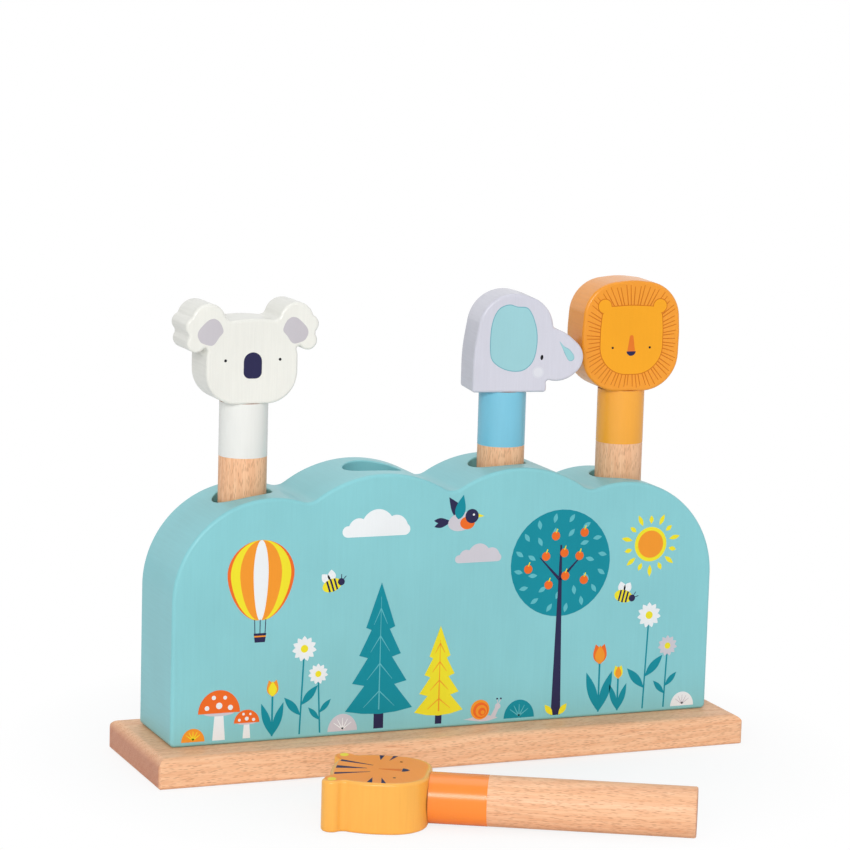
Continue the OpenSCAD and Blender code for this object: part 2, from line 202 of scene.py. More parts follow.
class MaterialSheet(NodeSheet):
    """The nodes of one material."""

    def __init__(self, name: str) -> None:
        """Makes the material.

        Args:
            name: Its name.
        """
        self.material = bpy.data.materials.new(name)
        self.material.use_nodes = True
        super().__init__(self.material.node_tree)

    def dress(self, inputs: dict) -> bpy.types.Material:
        """Ends the material in a Principled shader with these inputs, and returns it."""
        self.end("ShaderNodeOutputMaterial", self.node("ShaderNodeBsdfPrincipled", {}, inputs))
        return self.material

    def coordinates(self, place: Matrix) -> Wire:
        """Gives a place in millimetres along a piece's own axes.

        Args:
            place: The piece's place, in metres.

        Returns:
            The coordinates, as a vector.
        """
        spot = self.node("ShaderNodeTexCoord", output="Object")
        return self.node("ShaderNodeMapping", {"vector_type": "TEXTURE"}, {
            "Vector": spot, "Location": place.translation,
            "Rotation": place.to_euler(), "Scale": (MM, MM, MM)})

    def facing(self, axis: Vector) -> Wire:
        """Finds how squarely the surface faces along an axis.

        Args:
            axis: The axis, in the toy's own directions.

        Returns:
            0 for a surface along the axis, to 1 for one across it.
        """
        normal = self.node("ShaderNodeTexCoord", output="Normal")
        along = self.vectors("DOT_PRODUCT", normal, axis, output="Value")
        return along.maths("ABSOLUTE", along)

    def noise(self, spot: Wire, grain: Sequence[float], detail: float = 2.0) -> Wire:
        """Adds soft noise.

        Args:
            spot: Coordinates in millimetres.
            grain: The size of the noise along each axis, in millimetres.
            detail: The octaves of finer noise.

        Returns:
            The noise, around 0.5.
        """
        return self.node("ShaderNodeTexNoise", {}, {
            "Vector": self.stretch(spot, grain), "Scale": 1.0, "Detail": detail, "Roughness": 0.55})

    def stretch(self, spot: Wire, grain: Sequence[float]) -> Wire:
        """Divides coordinates by a size along each axis."""
        return self.vectors("MULTIPLY", spot, [1 / size for size in grain])

    def mix(self, factor: Wire | float, first: object, second: object) -> Wire:
        """Mixes two colours, from the first at 0 to the second at 1."""
        settings = {"data_type": "RGBA", "clamp_factor": True}
        return self.node("ShaderNodeMix", settings, {0: factor, 6: first, 7: second}, 2)

    def bump(self, height: Wire, depth: float, strength: float) -> Wire:
        """Tilts the surface by a height, whose step from 0 to 1 is depth millimetres."""
        return self.node("ShaderNodeBump", {}, {
            "Height": height, "Distance": depth * MM, "Strength": strength}, "Normal")


# ---- Finishes ----


@dataclass(frozen=True)
class Finish:
    """The finish of a surface, whose material is made once and has the finish's name."""

    name: str
    made: ClassVar[dict[str, bpy.types.Material]] = {}

    def material(self) -> bpy.types.Material:
        """Gives the finish's material.

        Returns:
            The same material at each call.
        """
        if self.name not in self.made:
            self.made[self.name] = self._make(MaterialSheet(self.name))
        return self.made[self.name]

    def _make(self, sheet: MaterialSheet) -> bpy.types.Material:
        """Fills the material's nodes."""
        raise NotImplementedError


@dataclass(frozen=True)
class Beech(Finish):
    """Bare beech, sanded and oiled, with its grain along its own Z.

    Attributes:
        place: The grain's place and direction, in metres.
        pith: Where the tree's middle was, across the grain, in millimetres.
        ring: Width of a year's growth, in millimetres.
    """

    place: Matrix
    pith: Point = (38.0, -55.0)
    ring: float = 3.4
    pale: Colour = screen_colour(247, 196, 154)
    warm: Colour = screen_colour(228, 164, 120)
    fleck: Colour = screen_colour(158, 94, 64)
    end: Colour = screen_colour(176, 97, 74)

    def _make(self, sheet: MaterialSheet) -> bpy.types.Material:
        """Makes growth rings, fibres, short dark flecks and darker end grain.

        Args:
            sheet: The material's nodes.

        Returns:
            The material.
        """
        spot = sheet.coordinates(self.place)
        drift = sheet.noise(spot, (55, 55, 170), 1.0)
        across = sheet.vectors("MULTIPLY", spot, (1, 1, 0))
        from_pith = sheet.vectors("DISTANCE", across, (*self.pith, 0), output="Value")
        years = from_pith * (1 / self.ring) + drift * 9
        rings = years.maths("SINE", years * math.tau) * 0.5 + 0.5
        fibres = sheet.noise(spot, (0.4, 0.4, 9), 4.0)
        clouds = sheet.noise(spot, (9, 9, 60))
        tone = (rings * 0.3 + (fibres - 0.5) * 2.1 + (clouds - 0.5) * 0.9 + 0.2).held()
        flecks = self._flecks(sheet, spot)
        end_on = sheet.facing(self.place.to_3x3() @ Vector((0, 0, 1)))
        end_grain = end_on.maths("POWER", end_on, 4.0) * 0.62
        wood = sheet.mix(tone, self.pale, self.warm)
        wood = sheet.mix(flecks * 0.44, wood, self.fleck)
        return sheet.dress({
            "Base Color": sheet.mix(end_grain, wood, self.end),
            "Roughness": (0.46 + (fibres - 0.5) * 0.3 + flecks * 0.15).held(),
            "Specular IOR Level": 0.4,
            "Normal": sheet.bump(fibres * 0.6 - flecks * 0.8, 0.03, 0.7)})

    def _flecks(self, sheet: MaterialSheet, spot: Wire) -> Wire:
        """Scatters short dark pores along the grain.

        Args:
            sheet: The material's nodes.
            spot: Coordinates in millimetres.

        Returns:
            A mask, 1 in the middle of a pore.
        """
        pores = {"Vector": sheet.stretch(spot, (0.42, 0.42, 3.2)), "Scale": 1.0}
        cells = sheet.node("ShaderNodeTexVoronoi", {}, pores, "Distance")
        chances = sheet.node("ShaderNodeTexVoronoi", {}, pores, "Color")
        chance = sheet.node("ShaderNodeSeparateColor", {}, {0: chances}, "Red")
        crowding = sheet.noise(spot, (7, 7, 40)) - 0.5
        return ((0.42 - cells) * 5).held() * (chance + crowding * 1.3 > 0.24)


@dataclass(frozen=True)
class SatinPaint(Finish):
    """Sprayed satin paint over sanded wood, through which the fibres just show.

    Attributes:
        place: The piece's place, in metres, with the wood's grain along its own Z.
        coat: Weight of the thin clear coat.
        fibre: How strongly the wood's fibres show.
        gloss: Strength of the reflection.
    """

    colour: Colour
    place: Matrix
    roughness: float = 0.4
    coat: float = 0.12
    fibre: float = 1.0
    gloss: float = 0.3

    def _make(self, sheet: MaterialSheet) -> bpy.types.Material:
        """Makes soft drifts of tone, faint fibres, cut marks and fine spray texture.

        Args:
            sheet: The material's nodes.

        Returns:
            The material.
        """
        spot = sheet.coordinates(self.place)
        drifts = sheet.noise(spot, (26, 26, 40)) - 0.5
        fibres = sheet.noise(spot, (0.7, 0.7, 16), 3.0) - 0.5
        cuts = sheet.noise(spot, (0.9, 22, 0.9)) - 0.5
        wall = 1 - sheet.facing(self.place.to_3x3() @ Vector((0, 1, 0)))
        marks = (fibres * (1 - wall * 0.6) + cuts * wall * 1.4) * self.fibre
        spray = sheet.noise(spot, (0.55, 0.55, 0.55)) - 0.5
        tone = (0.5 + drifts * 0.7 + marks * 0.45 + spray * 0.12).held()
        return sheet.dress({
            "Base Color": sheet.mix(tone, toned(self.colour, 0.86), toned(self.colour, 1.07, 0.004)),
            "Roughness": (self.roughness + spray * 0.1 + drifts * 0.08).held(),
            "Coat Weight": self.coat,
            "Coat Roughness": 0.14,
            "Specular IOR Level": self.gloss,
            "Normal": sheet.bump(marks * 0.8 + spray * 0.25, 0.018, 0.8)})


@dataclass(frozen=True)
class DrawnSteel(Finish):
    """Zinc-plated drawn steel, with fine marks and a little bloom."""

    colour: Colour
    roughness: float = 0.3

    def _make(self, sheet: MaterialSheet) -> bpy.types.Material:
        """Makes patches of bloom over fine marks.

        Args:
            sheet: The material's nodes.

        Returns:
            The material.
        """
        spot = sheet.coordinates(Matrix.Identity(4))
        bloom = sheet.noise(spot, (3, 3, 3), 3.0)
        marks = sheet.noise(spot, (0.3, 0.3, 0.3)) - 0.5
        return sheet.dress({
            "Base Color": sheet.mix((bloom * 1.6 - 0.4).held(), self.colour, toned(self.colour, 0.72)),
            "Metallic": 1.0,
            "Roughness": (self.roughness + (bloom - 0.5) * 0.3 + marks * 0.15).held(),
            "Normal": sheet.bump(marks, 0.01, 0.6)})


class Ink(Enum):
    """The printed inks, as 8-bit screen colours."""

    TEAL = (8, 140, 157)
    SEA = (96, 186, 196)
    NAVY = (40, 38, 76)
    BLACK = (26, 24, 30)
    YELLOW = (240, 226, 44)
    ORANGE = (242, 152, 44)
    RED = (238, 108, 36)
    GREY = (206, 203, 211)
    WHITE = (236, 240, 242)
    EAR_GREY = (198, 193, 198)
    EAR_TEAL = (157, 206, 212)
    EAR_LINE = (118, 178, 190)
    CHEEK_RIM = (216, 216, 225)
    CHEEK = (224, 224, 231)
    MANE_LINE = (208, 116, 20)
    MANE_FACE = (249, 168, 34)
    MUZZLE = (232, 122, 38)
    TIGER_EAR = (243, 222, 66)
    # Printed over the tiger's whole face, redder and darker than the head's paint: the darker tone is
    # painted shade on the face, which lies facing up.
    TIGER_FACE_SHADE = (255, 152, 50)

    def finish(self) -> SatinPaint:
        """Gives the ink's film, which is glossier on the tiger's face.

        Returns:
            The film of paint.
        """
        gloss = 0.5 if self is Ink.TIGER_FACE_SHADE else 0.16
        return SatinPaint("ink_" + self.name.lower(), screen_colour(*self.value),
                          Matrix.Identity(4), 0.5, 0.0, 0.5, gloss)


# ---- Shapes ----


@dataclass(frozen=True)
class Corner:
    """A round corner of an outline, with its centre and its radius.

    Attributes:
        hollow: Radius of the hollow that leads to the next corner, or 0 for a common tangent.
    """

    x: float
    z: float
    radius: float
    hollow: float = 0.0

    @property
    def centre(self) -> Vector:
        """The corner's centre."""
        return Vector((self.x, self.z))


def polar(radius: float, angle: float) -> Vector:
    """The point at a radius and an angle in radians."""
    return Vector((radius * math.cos(angle), radius * math.sin(angle)))


def heading(arrow: Vector) -> float:
    """The direction of an arrow, in radians."""
    return math.atan2(arrow.y, arrow.x)


@dataclass(frozen=True)
class Outline:
    """A closed outline of round corners, listed anticlockwise.

    Attributes:
        step: The widest angle between two points of an arc, in degrees.
        wide: Radius from which an arc gets three times as many points.
    """

    corners: tuple[Corner, ...]
    step: float = 6.0
    wide: ClassVar[float] = 20.0

    @classmethod
    def mirrored(cls, right: Sequence[Corner], top: Sequence[Corner] = (),
                 step: float = 6.0) -> "Outline":
        """Makes a symmetrical outline.

        Args:
            right: The corners of the right half, from the bottom up.
            top: Corners on the middle line.
            step: The widest angle between two points of an arc, in degrees.

        Returns:
            The outline.
        """
        hollows = [0.0] + [corner.hollow for corner in right[:-1]]
        left = [Corner(-corner.x, corner.z, corner.radius, hollow)
                for corner, hollow in zip(right, hollows)]
        return cls((*right, *top, *reversed(left)), step)

    def points(self) -> list[Point]:
        """Works out the outline's points, anticlockwise.

        Returns:
            The points.
        """
        rim: list[Vector] = []
        for index, here in enumerate(self.corners):
            last, after = self.corners[index - 1], self.corners[(index + 1) % len(self.corners)]
            start, end = self._heading(last, here, here), self._heading(here, after, here)
            rim += self._arc(here.centre, here.radius, start, (end - start) % math.tau)
            if here.hollow:
                dip = self._hollow(here, after)
                start, end = heading(here.centre - dip), heading(after.centre - dip)
                rim += self._arc(dip, here.hollow, start, -((start - end) % math.tau))[1:-1]
        return [(point.x, point.y) for point in rim]

    def _arc(self, centre: Vector, radius: float, start: float, turn: float) -> list[Vector]:
        """Divides an arc.

        Args:
            centre: The arc's centre.
            radius: Its radius.
            start: The direction of its start, in radians.
            turn: How far it turns, anticlockwise, in radians.

        Returns:
            Points along the arc, its ends among them.
        """
        fine = math.radians(self.step if radius < self.wide else self.step / 3)
        steps = max(2, math.ceil(abs(turn) / fine)) if abs(turn) > 1e-4 else 1
        return [centre + polar(radius, start + turn * k / steps) for k in range(steps + 1)]

    def _heading(self, first: Corner, second: Corner, at: Corner) -> float:
        """Finds where the line between two corners meets one of them.

        Args:
            first: The corner that the line leaves.
            second: The corner that it goes to.
            at: The one of the two that is asked about.

        Returns:
            The direction from that corner's centre, in radians.
        """
        if first.hollow:
            return heading(self._hollow(first, second) - at.centre)
        gap = second.centre - first.centre
        return heading(gap) - math.acos((first.radius - second.radius) / gap.length)

    @staticmethod
    def _hollow(first: Corner, second: Corner) -> Vector:
        """Finds the hollow between two corners.

        Args:
            first: The corner before it.
            second: The corner after it.

        Returns:
            The hollow's centre.
        """
        gap = second.centre - first.centre
        near, far = first.radius + first.hollow, second.radius + first.hollow
        spread = (near ** 2 + gap.length_squared - far ** 2) / (2 * near * gap.length)
        return first.centre + polar(near, heading(gap) - math.acos(spread))


def board(rim: Rim, thickness: float, edge: float, steps: int = 6) -> Mesh:
    """Cuts an upright board with rounded edges.

    Args:
        rim: The outline's points, to the right and up.
        thickness: From the front face at -Y to the back face.
        edge: Radius of the rounded edges.
        steps: Faces round each edge.

    Returns:
        The board, centred front to back.
    """
    mesh = bmesh.new()
    front = mesh.faces.new([mesh.verts.new((x, -thickness / 2, z)) for x, z in rim])
    bmesh.ops.translate(mesh, vec=(0, thickness, 0), verts=raised(mesh, front))
    bmesh.ops.recalc_face_normals(mesh, faces=mesh.faces)
    rims = [e for e in mesh.edges if abs(e.verts[0].co.y - e.verts[1].co.y) < thickness / 2]
    bmesh.ops.bevel(mesh, geom=rims, offset=edge, offset_type="OFFSET", segments=steps,
                    profile=0.5, affect="EDGES", material=-1, clamp_overlap=False)
    return mesh


def raised(mesh: Mesh, face: bmesh.types.BMFace) -> list[bmesh.types.BMVert]:
    """Extrudes a face and gives the new face's corners, still in place."""
    new = bmesh.ops.extrude_face_region(mesh, geom=[face])["geom"]
    return [part for part in new if isinstance(part, bmesh.types.BMVert)]


def lathe(profile: Rim, steps: int = 96) -> Mesh:
    """Turns a profile round the Z axis.

    Args:
        profile: Radius and height of each point, from the axis back to the axis, or a loop.
        steps: Faces round the axis.

    Returns:
        The turned solid.
    """
    mesh = bmesh.new()
    verts = [mesh.verts.new((radius, 0, z)) for radius, z in profile]
    pairs = list(zip(verts, verts[1:]))
    if profile[0][0] > 0:
        pairs.append((verts[-1], verts[0]))
    edges = [mesh.edges.new(pair) for pair in pairs]
    bmesh.ops.spin(mesh, geom=verts + edges, axis=(0, 0, 1), cent=(0, 0, 0),
                   angle=math.tau, steps=steps, use_merge=True)
    bmesh.ops.remove_doubles(mesh, verts=mesh.verts, dist=1e-4)
    bmesh.ops.recalc_face_normals(mesh, faces=mesh.faces)
    return mesh


def to_object(name: str, mesh: Mesh) -> bpy.types.Object:
    """Puts a mesh into the scene and uses it up.

    Args:
        name: The name of the object and its mesh.
        mesh: The mesh.

    Returns:
        The object.
    """
    data = bpy.data.meshes.new(name)
    mesh.to_mesh(data)
    mesh.free()
    made = bpy.data.objects.new(name, data)
    bpy.context.scene.collection.objects.link(made)
    return made


def carve(solid: Mesh, tool: Mesh) -> Mesh:
    """Cuts a tool's shape out of a solid.

    Args:
        solid: What is cut.
        tool: The shape that is taken away.

    Returns:
        What is left.
    """
    blanks = [to_object("blank", mesh) for mesh in (solid, tool)]
    cut = blanks[0].modifiers.new("cut", "BOOLEAN")
    cut.operation = "DIFFERENCE"
    cut.solver = "EXACT"
    cut.object = blanks[1]
    left = bmesh.new()
    left.from_object(blanks[0], bpy.context.evaluated_depsgraph_get())
    for blank in blanks:
        bpy.data.meshes.remove(blank.data)
    return left


def add_piece(name: str, mesh: Mesh, place: Matrix, body: str,
              finishes: Sequence[Finish], stands_for: Sequence[str] = ()) -> bpy.types.Object:
    """Turns a mesh that is drawn in millimetres into a finished piece of the toy.

    Args:
        name: The piece's name.
        mesh: The mesh, which is used up.
        place: Its place, in metres.
        body: The body that it moves with.
        finishes: Its finishes, in the order of the faces' material numbers.
        stands_for: The nodes that it replaces.

    Returns:
        The piece.
    """
    bmesh.ops.transform(mesh, matrix=place @ Matrix.Scale(MM, 4), verts=mesh.verts)
    for face in mesh.faces:
        face.smooth = True
    piece = to_object(name, mesh)
    for finish in finishes:
        piece.data.materials.append(finish.material())
    piece.data.set_sharp_from_angle(angle=CREASE)
    piece.modifiers.new("even_shading", "WEIGHTED_NORMAL").keep_sharp = True
    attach(piece, body)
    if stands_for:
        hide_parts(*stands_for)
    LOG.info("%s: %d faces, rides on %s", name, len(piece.data.polygons), body)
    return piece


def dress_node(name: str, finish: Finish) -> None:
    """Gives a node of the frame its finish.

    Args:
        name: The node.
        finish: The finish.
    """
    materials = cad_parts[name].data.materials
    materials.clear()
    materials.append(finish.material())
    LOG.info("%s: dressed in %s", name, finish.name)


def middle(node: str) -> Vector:
    """The middle of a node's box, in metres."""
    low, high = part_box(node)
    return (low + high) / 2


# ---- Printing ----


def turned(foot: Point, tilt: float, points: Rim) -> list[Point]:
    """Turns points given as along and across a direction, and moves them to a foot.

    Args:
        foot: Where the points start from.
        tilt: The direction, in degrees clockwise from straight up.
        points: Distances along the direction and to the right of it.

    Returns:
        The points, to the right and up.
    """
    lean = math.radians(tilt)
    return [(foot[0] + along * math.sin(lean) + across * math.cos(lean),
             foot[1] + along * math.cos(lean) - across * math.sin(lean)) for along, across in points]


def away(foot: Point, tilt: float, distance: float) -> Point:
    """The point at a distance from a foot, in a direction as turned() has it."""
    return turned(foot, tilt, [(distance, 0)])[0]


def smooth_rim(knots: Rim, steps: int = 5) -> list[Point]:
    """Draws a smooth closed curve through a few points.

    Args:
        knots: The points.
        steps: How many points the curve has for each of them.

    Returns:
        The curve's points.
    """
    rim = []
    count = len(knots)
    for index in range(count):
        a, b, c, d = (Vector(knots[(index + shift) % count]) for shift in (-1, 0, 1, 2))
        for t in (k / steps for k in range(steps)):
            spot = 0.5 * (2 * b + (c - a) * t + (2 * a - 5 * b + 4 * c - d) * t ** 2
                          + (3 * b - a - 3 * c + d) * t ** 3)
            rim.append((spot.x, spot.y))
    return rim


def grown(rim: Rim, by: float) -> list[Point]:
    """Moves a rim's points outwards, away from their middle.

    Args:
        rim: The points.
        by: How far they move.

    Returns:
        The moved points.
    """
    centre = sum((Vector(point) for point in rim), Vector((0, 0))) / len(rim)
    arrows = [Vector(point) - centre for point in rim]
    return [tuple(centre + arrow * (1 + by / arrow.length)) for arrow in arrows]


def reach(rim: Rim, centre: Point, angle: float) -> float:
    """Measures how far a rim lies from a point inside it.

    Args:
        rim: The rim's points.
        centre: The point inside.
        angle: The direction, in radians.

    Returns:
        The distance.
    """
    ray = polar(1, angle)
    far = 0.0
    for a, b in zip(rim, [*rim[1:], rim[0]]):
        start, side = Vector(a) - Vector(centre), Vector(b) - Vector(a)
        cross = ray.cross(side)
        if abs(cross) > 1e-9 and 0 <= start.cross(ray) / cross <= 1:
            far = max(far, start.cross(side) / cross)
    return far


@dataclass
class PrintSheet:
    """Flat printed shapes on an upright face at Y = 0, each a thin closed film of ink.

    Attributes:
        film: How much each layer stands out past the one under it.
        root: How deep a film reaches into the face.
    """

    film: ClassVar[float] = 0.03
    root: ClassVar[float] = 0.1
    disc_steps: ClassVar[int] = 40
    dome_steps: ClassVar[int] = 24

    def __post_init__(self) -> None:
        """Starts with a bare sheet."""
        self.mesh = bmesh.new()
        self.inks: list[Ink] = []

    def _lay(self, face: bmesh.types.BMFace, ink: Ink, layer: float) -> None:
        """Turns a flat shape into a film.

        Args:
            face: The shape.
            ink: Its ink.
            layer: Its layer, from 0.
        """
        if ink not in self.inks:
            self.inks.append(ink)
        for vert in face.verts:
            vert.co.y = self.root
        front = raised(self.mesh, face)
        rise = self.root + self.film * (1 + layer)
        bmesh.ops.translate(self.mesh, vec=(0, -rise, 0), verts=front)
        for film_face in {near for vert in front for near in vert.link_faces} | {face}:
            film_face.material_index = self.inks.index(ink)

    def shape(self, rim: Rim, ink: Ink, layer: float = 0) -> None:
        """Prints a shape by its rim's points."""
        self._lay(self.mesh.faces.new([self.mesh.verts.new((x, 0, z)) for x, z in rim]), ink, layer)

    def disc(self, x: float, z: float, wide: float, ink: Ink, layer: float = 0,
             tall: float | None = None, tilt: float = 0.0) -> None:
        """Prints a disc or an oval.

        Args:
            x: Its middle's place to the right.
            z: Its middle's height.
            wide: Its radius to the side.
            ink: Its ink.
            layer: Its layer, from 0.
            tall: Its upright radius, if that is another.
            tilt: Its clockwise turn, in degrees.
        """
        upright = Matrix.Rotation(math.pi / 2, 4, "X")
        place = (Matrix.Translation((x, 0, z)) @ Matrix.Rotation(math.radians(tilt), 4, "Y")
                 @ Matrix.Diagonal((wide, 1, tall or wide, 1)) @ upright)
        ring = bmesh.ops.create_circle(self.mesh, cap_ends=True, segments=self.disc_steps,
                                       radius=1.0, matrix=place)
        self._lay(ring["verts"][0].link_faces[0], ink, layer)

    def dome(self, x: float, z: float, wide: float, tall: float, ink: Ink, layer: float = 0) -> None:
        """Prints the upper half of an oval, with its sizes as a disc has them."""
        arc = [math.pi * k / self.dome_steps for k in range(self.dome_steps + 1)]
        self.shape([(x + wide * math.cos(a), z + tall * math.sin(a)) for a in arc], ink, layer)

    def leaf(self, foot: Point, length: float, width: float, tilt: float, ink: Ink,
             layer: float = 0, belly: float = 1.0) -> None:
        """Prints a pointed leaf.

        Args:
            foot: Where it grows from.
            length: Its length.
            width: Its greatest width.
            tilt: Its direction, in degrees clockwise from straight up.
            ink: Its ink.
            layer: Its layer, from 0.
            belly: Above 1 the leaf is fullest past its middle, and below 1 before it.
        """
        steps = 14
        sides = [(length * (k / steps), width / 2 * math.sin(math.pi * (k / steps) ** belly))
                 for k in range(steps + 1)]
        back = [(along, -half) for along, half in sides[-2:0:-1]]
        self.shape(turned(foot, tilt, sides + back), ink, layer)

    def stroke(self, start: Point, end: Point, ink: Ink, layer: float = 0,
               width: float = 0.5, tip: float | None = None) -> None:
        """Prints a straight stroke.

        Args:
            start: Where it starts.
            end: Where it ends.
            ink: Its ink.
            layer: Its layer, from 0.
            width: Its width.
            tip: Its width at the end, if that is another.
        """
        run, rise = end[0] - start[0], end[1] - start[1]
        length, near, far = math.hypot(run, rise), width / 2, (width if tip is None else tip) / 2
        rim = [(0, near), (length, far), (length, -far), (0, -near)]
        self.shape(turned(start, math.degrees(math.atan2(run, rise)), rim), ink, layer)

    def finish(self, name: str, face: Matrix, body: str, slot: str) -> None:
        """Turns the sheet into a piece.

        Args:
            name: The piece's name.
            face: The place of the face that is printed, in metres.
            body: The body that it moves with.
            slot: Not used.
        """
        bmesh.ops.recalc_face_normals(self.mesh, faces=self.mesh.faces)
        add_piece(name, self.mesh, face, body, [ink.finish() for ink in self.inks])


# ---- Motifs of the meadow print ----


@dataclass
class SkyMotif(PrintSheet):
    """Something in the sky, with its place along the block and its height."""

    x: float
    z: float

    def at(self, right: float, up: float) -> Point:
        """A place to the right of the motif's middle and above it."""
        return (self.x + right, self.z + up)


@dataclass
class GroundMotif(PrintSheet):
    """Something on the ground, with its place along the block."""

    x: float
    ground: ClassVar[float] = 2.0

    def at(self, right: float, up: float) -> Point:
        """A place to the right of the motif's middle and above the ground."""
        return (self.x + right, self.ground + up)


@dataclass
class Sun(SkyMotif):
    """A round sun with leaf-shaped rays."""

    radius: float = 7.5
    rays: int = 14

    def draw(self) -> None:
        """Prints the disc and its rays, long and short in turn."""
        for index in range(self.rays):
            tilt = 360 * index / self.rays
            foot = away(self.at(0, 0), tilt, self.radius + 1.4)
            self.leaf(foot, 5.2 if index % 2 else 3.6, 1.9, tilt, Ink.YELLOW)
        self.disc(self.x, self.z, self.radius, Ink.YELLOW)
        self.disc(self.x, self.z, self.radius - 1.6, Ink.ORANGE, 1)


@dataclass
class Cloud(SkyMotif):
    """A flat-bottomed cloud of puffs, each with its place and size as shares of the width."""

    width: float
    ink: Ink
    puffs: ClassVar[tuple[Point, ...]] = ((-0.26, 0.16), (0.02, 0.26), (0.29, 0.18))

    def draw(self) -> None:
        """Prints the puffs over a low bar."""
        for layer, (shift, size) in enumerate(self.puffs):
            wide = size * self.width
            self.dome(self.x + shift * self.width, self.z, wide, wide * 1.15, self.ink, layer * 0.3)
        half, thick = 0.42 * self.width, 0.08 * self.width
        bar = Outline(tuple(Corner(*self.at(end, 0), thick) for end in (half, -half)), 20)
        self.shape(bar.points(), self.ink, 0.9)


@dataclass
class Balloon(SkyMotif):
    """A striped hot-air balloon with a basket."""

    radius: float = 14.5
    stripes: tuple[Ink, ...] = (Ink.RED, Ink.YELLOW, Ink.ORANGE, Ink.WHITE, Ink.ORANGE,
                                Ink.YELLOW, Ink.RED)

    def _side(self, share: float) -> list[Point]:
        """Works out one meridian of the envelope.

        Args:
            share: How far round the meridian is, from -1 at the left edge to 1 at the right.

        Returns:
            Its points, from the crown to the mouth.
        """
        line = []
        steps, mouth = 22, math.pi * 0.94
        for turn in (mouth * k / steps for k in range(steps + 1)):
            drop = max(0.0, -math.cos(turn))
            wide = self.radius * math.sin(turn) * (1 - 0.12 * drop)
            line.append(self.at(share * wide, self.radius * (math.cos(turn) - 0.32 * drop)))
        return line

    def draw(self) -> None:
        """Prints the stripes, the ropes and the basket."""
        count = len(self.stripes)
        shares = [math.sin(math.pi * (k / count - 0.5)) for k in range(count + 1)]
        for ink, left, right in zip(self.stripes, shares, shares[1:]):
            self.shape(self._side(left)[1:] + self._side(right)[::-1], ink)
        mouth_x, mouth_z = self._side(1.0)[-1]
        basket_z = mouth_z - 5.5
        for side in (-1, 0, 1):
            knot = (self.x + side * (mouth_x - self.x), mouth_z + 0.3)
            self.stroke(knot, (self.x + side * 2.2, basket_z), Ink.NAVY, 0, 0.35)
        basket = ((-2.7, 0), (-2.2, -3.8), (2.2, -3.8), (2.7, 0))
        self.shape([(self.x + right, basket_z + up) for right, up in basket], Ink.NAVY, 1)
        band_z = basket_z - 1.3
        self.stroke((self.x - 2.5, band_z), (self.x + 2.5, band_z), Ink.ORANGE, 2, 0.6)


@dataclass
class FirTree(GroundMotif):
    """A fir of stacked tiers."""

    height: float
    width: float
    ink: Ink
    vein: Ink
    tiers: int = 4

    def draw(self) -> None:
        """Prints the trunk, the tiers from the bottom up and their veins."""
        trunk = 0.13 * self.height
        self.stroke(self.at(0, 0), self.at(0, trunk + 3), Ink.NAVY, 0, 0.07 * self.height)
        tier = (self.height - trunk) / (self.tiers * 0.62 + 0.38)
        for index in range(self.tiers):
            foot = trunk + index * 0.62 * tier
            half = self.width / 2 * (1 - 0.19 * index)
            rim = ((-half, 0), (-half * 0.5, -1.4), (0, -1.9), (half * 0.5, -1.4), (half, 0), (0, tier))
            self.shape([self.at(right, foot + up) for right, up in rim], self.ink, 0.5 + index * 0.4)
            for side in (-1, 1):
                self.stroke(self.at(0, foot + tier * 0.42), self.at(side * half * 0.46, foot + 1.2),
                            self.vein, 3, 0.45, 0.15)
        self.stroke(self.at(0, trunk), self.at(0, self.height - 6), self.vein, 3.4, 0.55, 0.15)


@dataclass
class AppleTree(GroundMotif):
    """A round-crowned tree with leaves and apples."""

    crown_z: float
    radius: float
    apples: int = 9

    def draw(self) -> None:
        """Prints the crown, the trunk, the twigs, rings of leaves and the apples."""
        crown = (self.x, self.crown_z)
        self.disc(*crown, self.radius, Ink.TEAL)
        fork, top = away(crown, 180, self.radius * 0.32), away(crown, 0, self.radius * 0.34)
        self.stroke(self.at(0, 0), top, Ink.NAVY, 1.5, 4.4, 0.8)
        for side in (-1, 1):
            twig = (fork[0] + side * self.radius * 0.42, fork[1] + self.radius * 0.44)
            self.stroke(fork, twig, Ink.NAVY, 1.8, 1.4, 0.4)
            self.leaf(self.at(side * 1.4, 0), 6, 2.6, side * 38, Ink.YELLOW, 2)
        for count, share in ((16, 0.86), (11, 0.6)):
            for tilt in (360 * (index + 0.5) / count for index in range(count)):
                foot = away(crown, tilt, self.radius * share - 2.1)
                self.leaf(foot, 4.2, 1.9, tilt + 24, Ink.SEA, 1)
        for index in range(self.apples):
            x, z = away(crown, 137.5 * index + 20, self.radius * (0.2 + 0.065 * index))
            self.disc(x, z, 1.9, Ink.RED, 2.5)
            self.stroke((x, z + 1.3), (x + 0.7, z + 3), Ink.YELLOW, 3, 0.45)


@dataclass
class Daisy(GroundMotif):
    """A daisy on a bent stem."""

    height: float
    petal: float
    lean: float
    ink: Ink = Ink.WHITE
    petals: int = 11

    def draw(self) -> None:
        """Prints the stem, two leaves, the petals and the eye."""
        top = self.at(self.lean, self.height)
        self.stroke(self.at(0, 0), top, Ink.TEAL, 0, 0.7)
        for side, share in ((-1, 0.22), (1, 0.34)):
            foot = self.at(self.lean * share, self.height * share)
            self.leaf(foot, 0.3 * self.height, 0.09 * self.height, side * 42, Ink.TEAL, 0.5)
        for index in range(self.petals):
            tilt = 360 * index / self.petals
            self.leaf(top, self.petal, self.petal * 0.42, tilt, self.ink, 1 + index * 0.1, 1.5)
        self.disc(*top, self.petal * 0.3, Ink.YELLOW, 2.5)


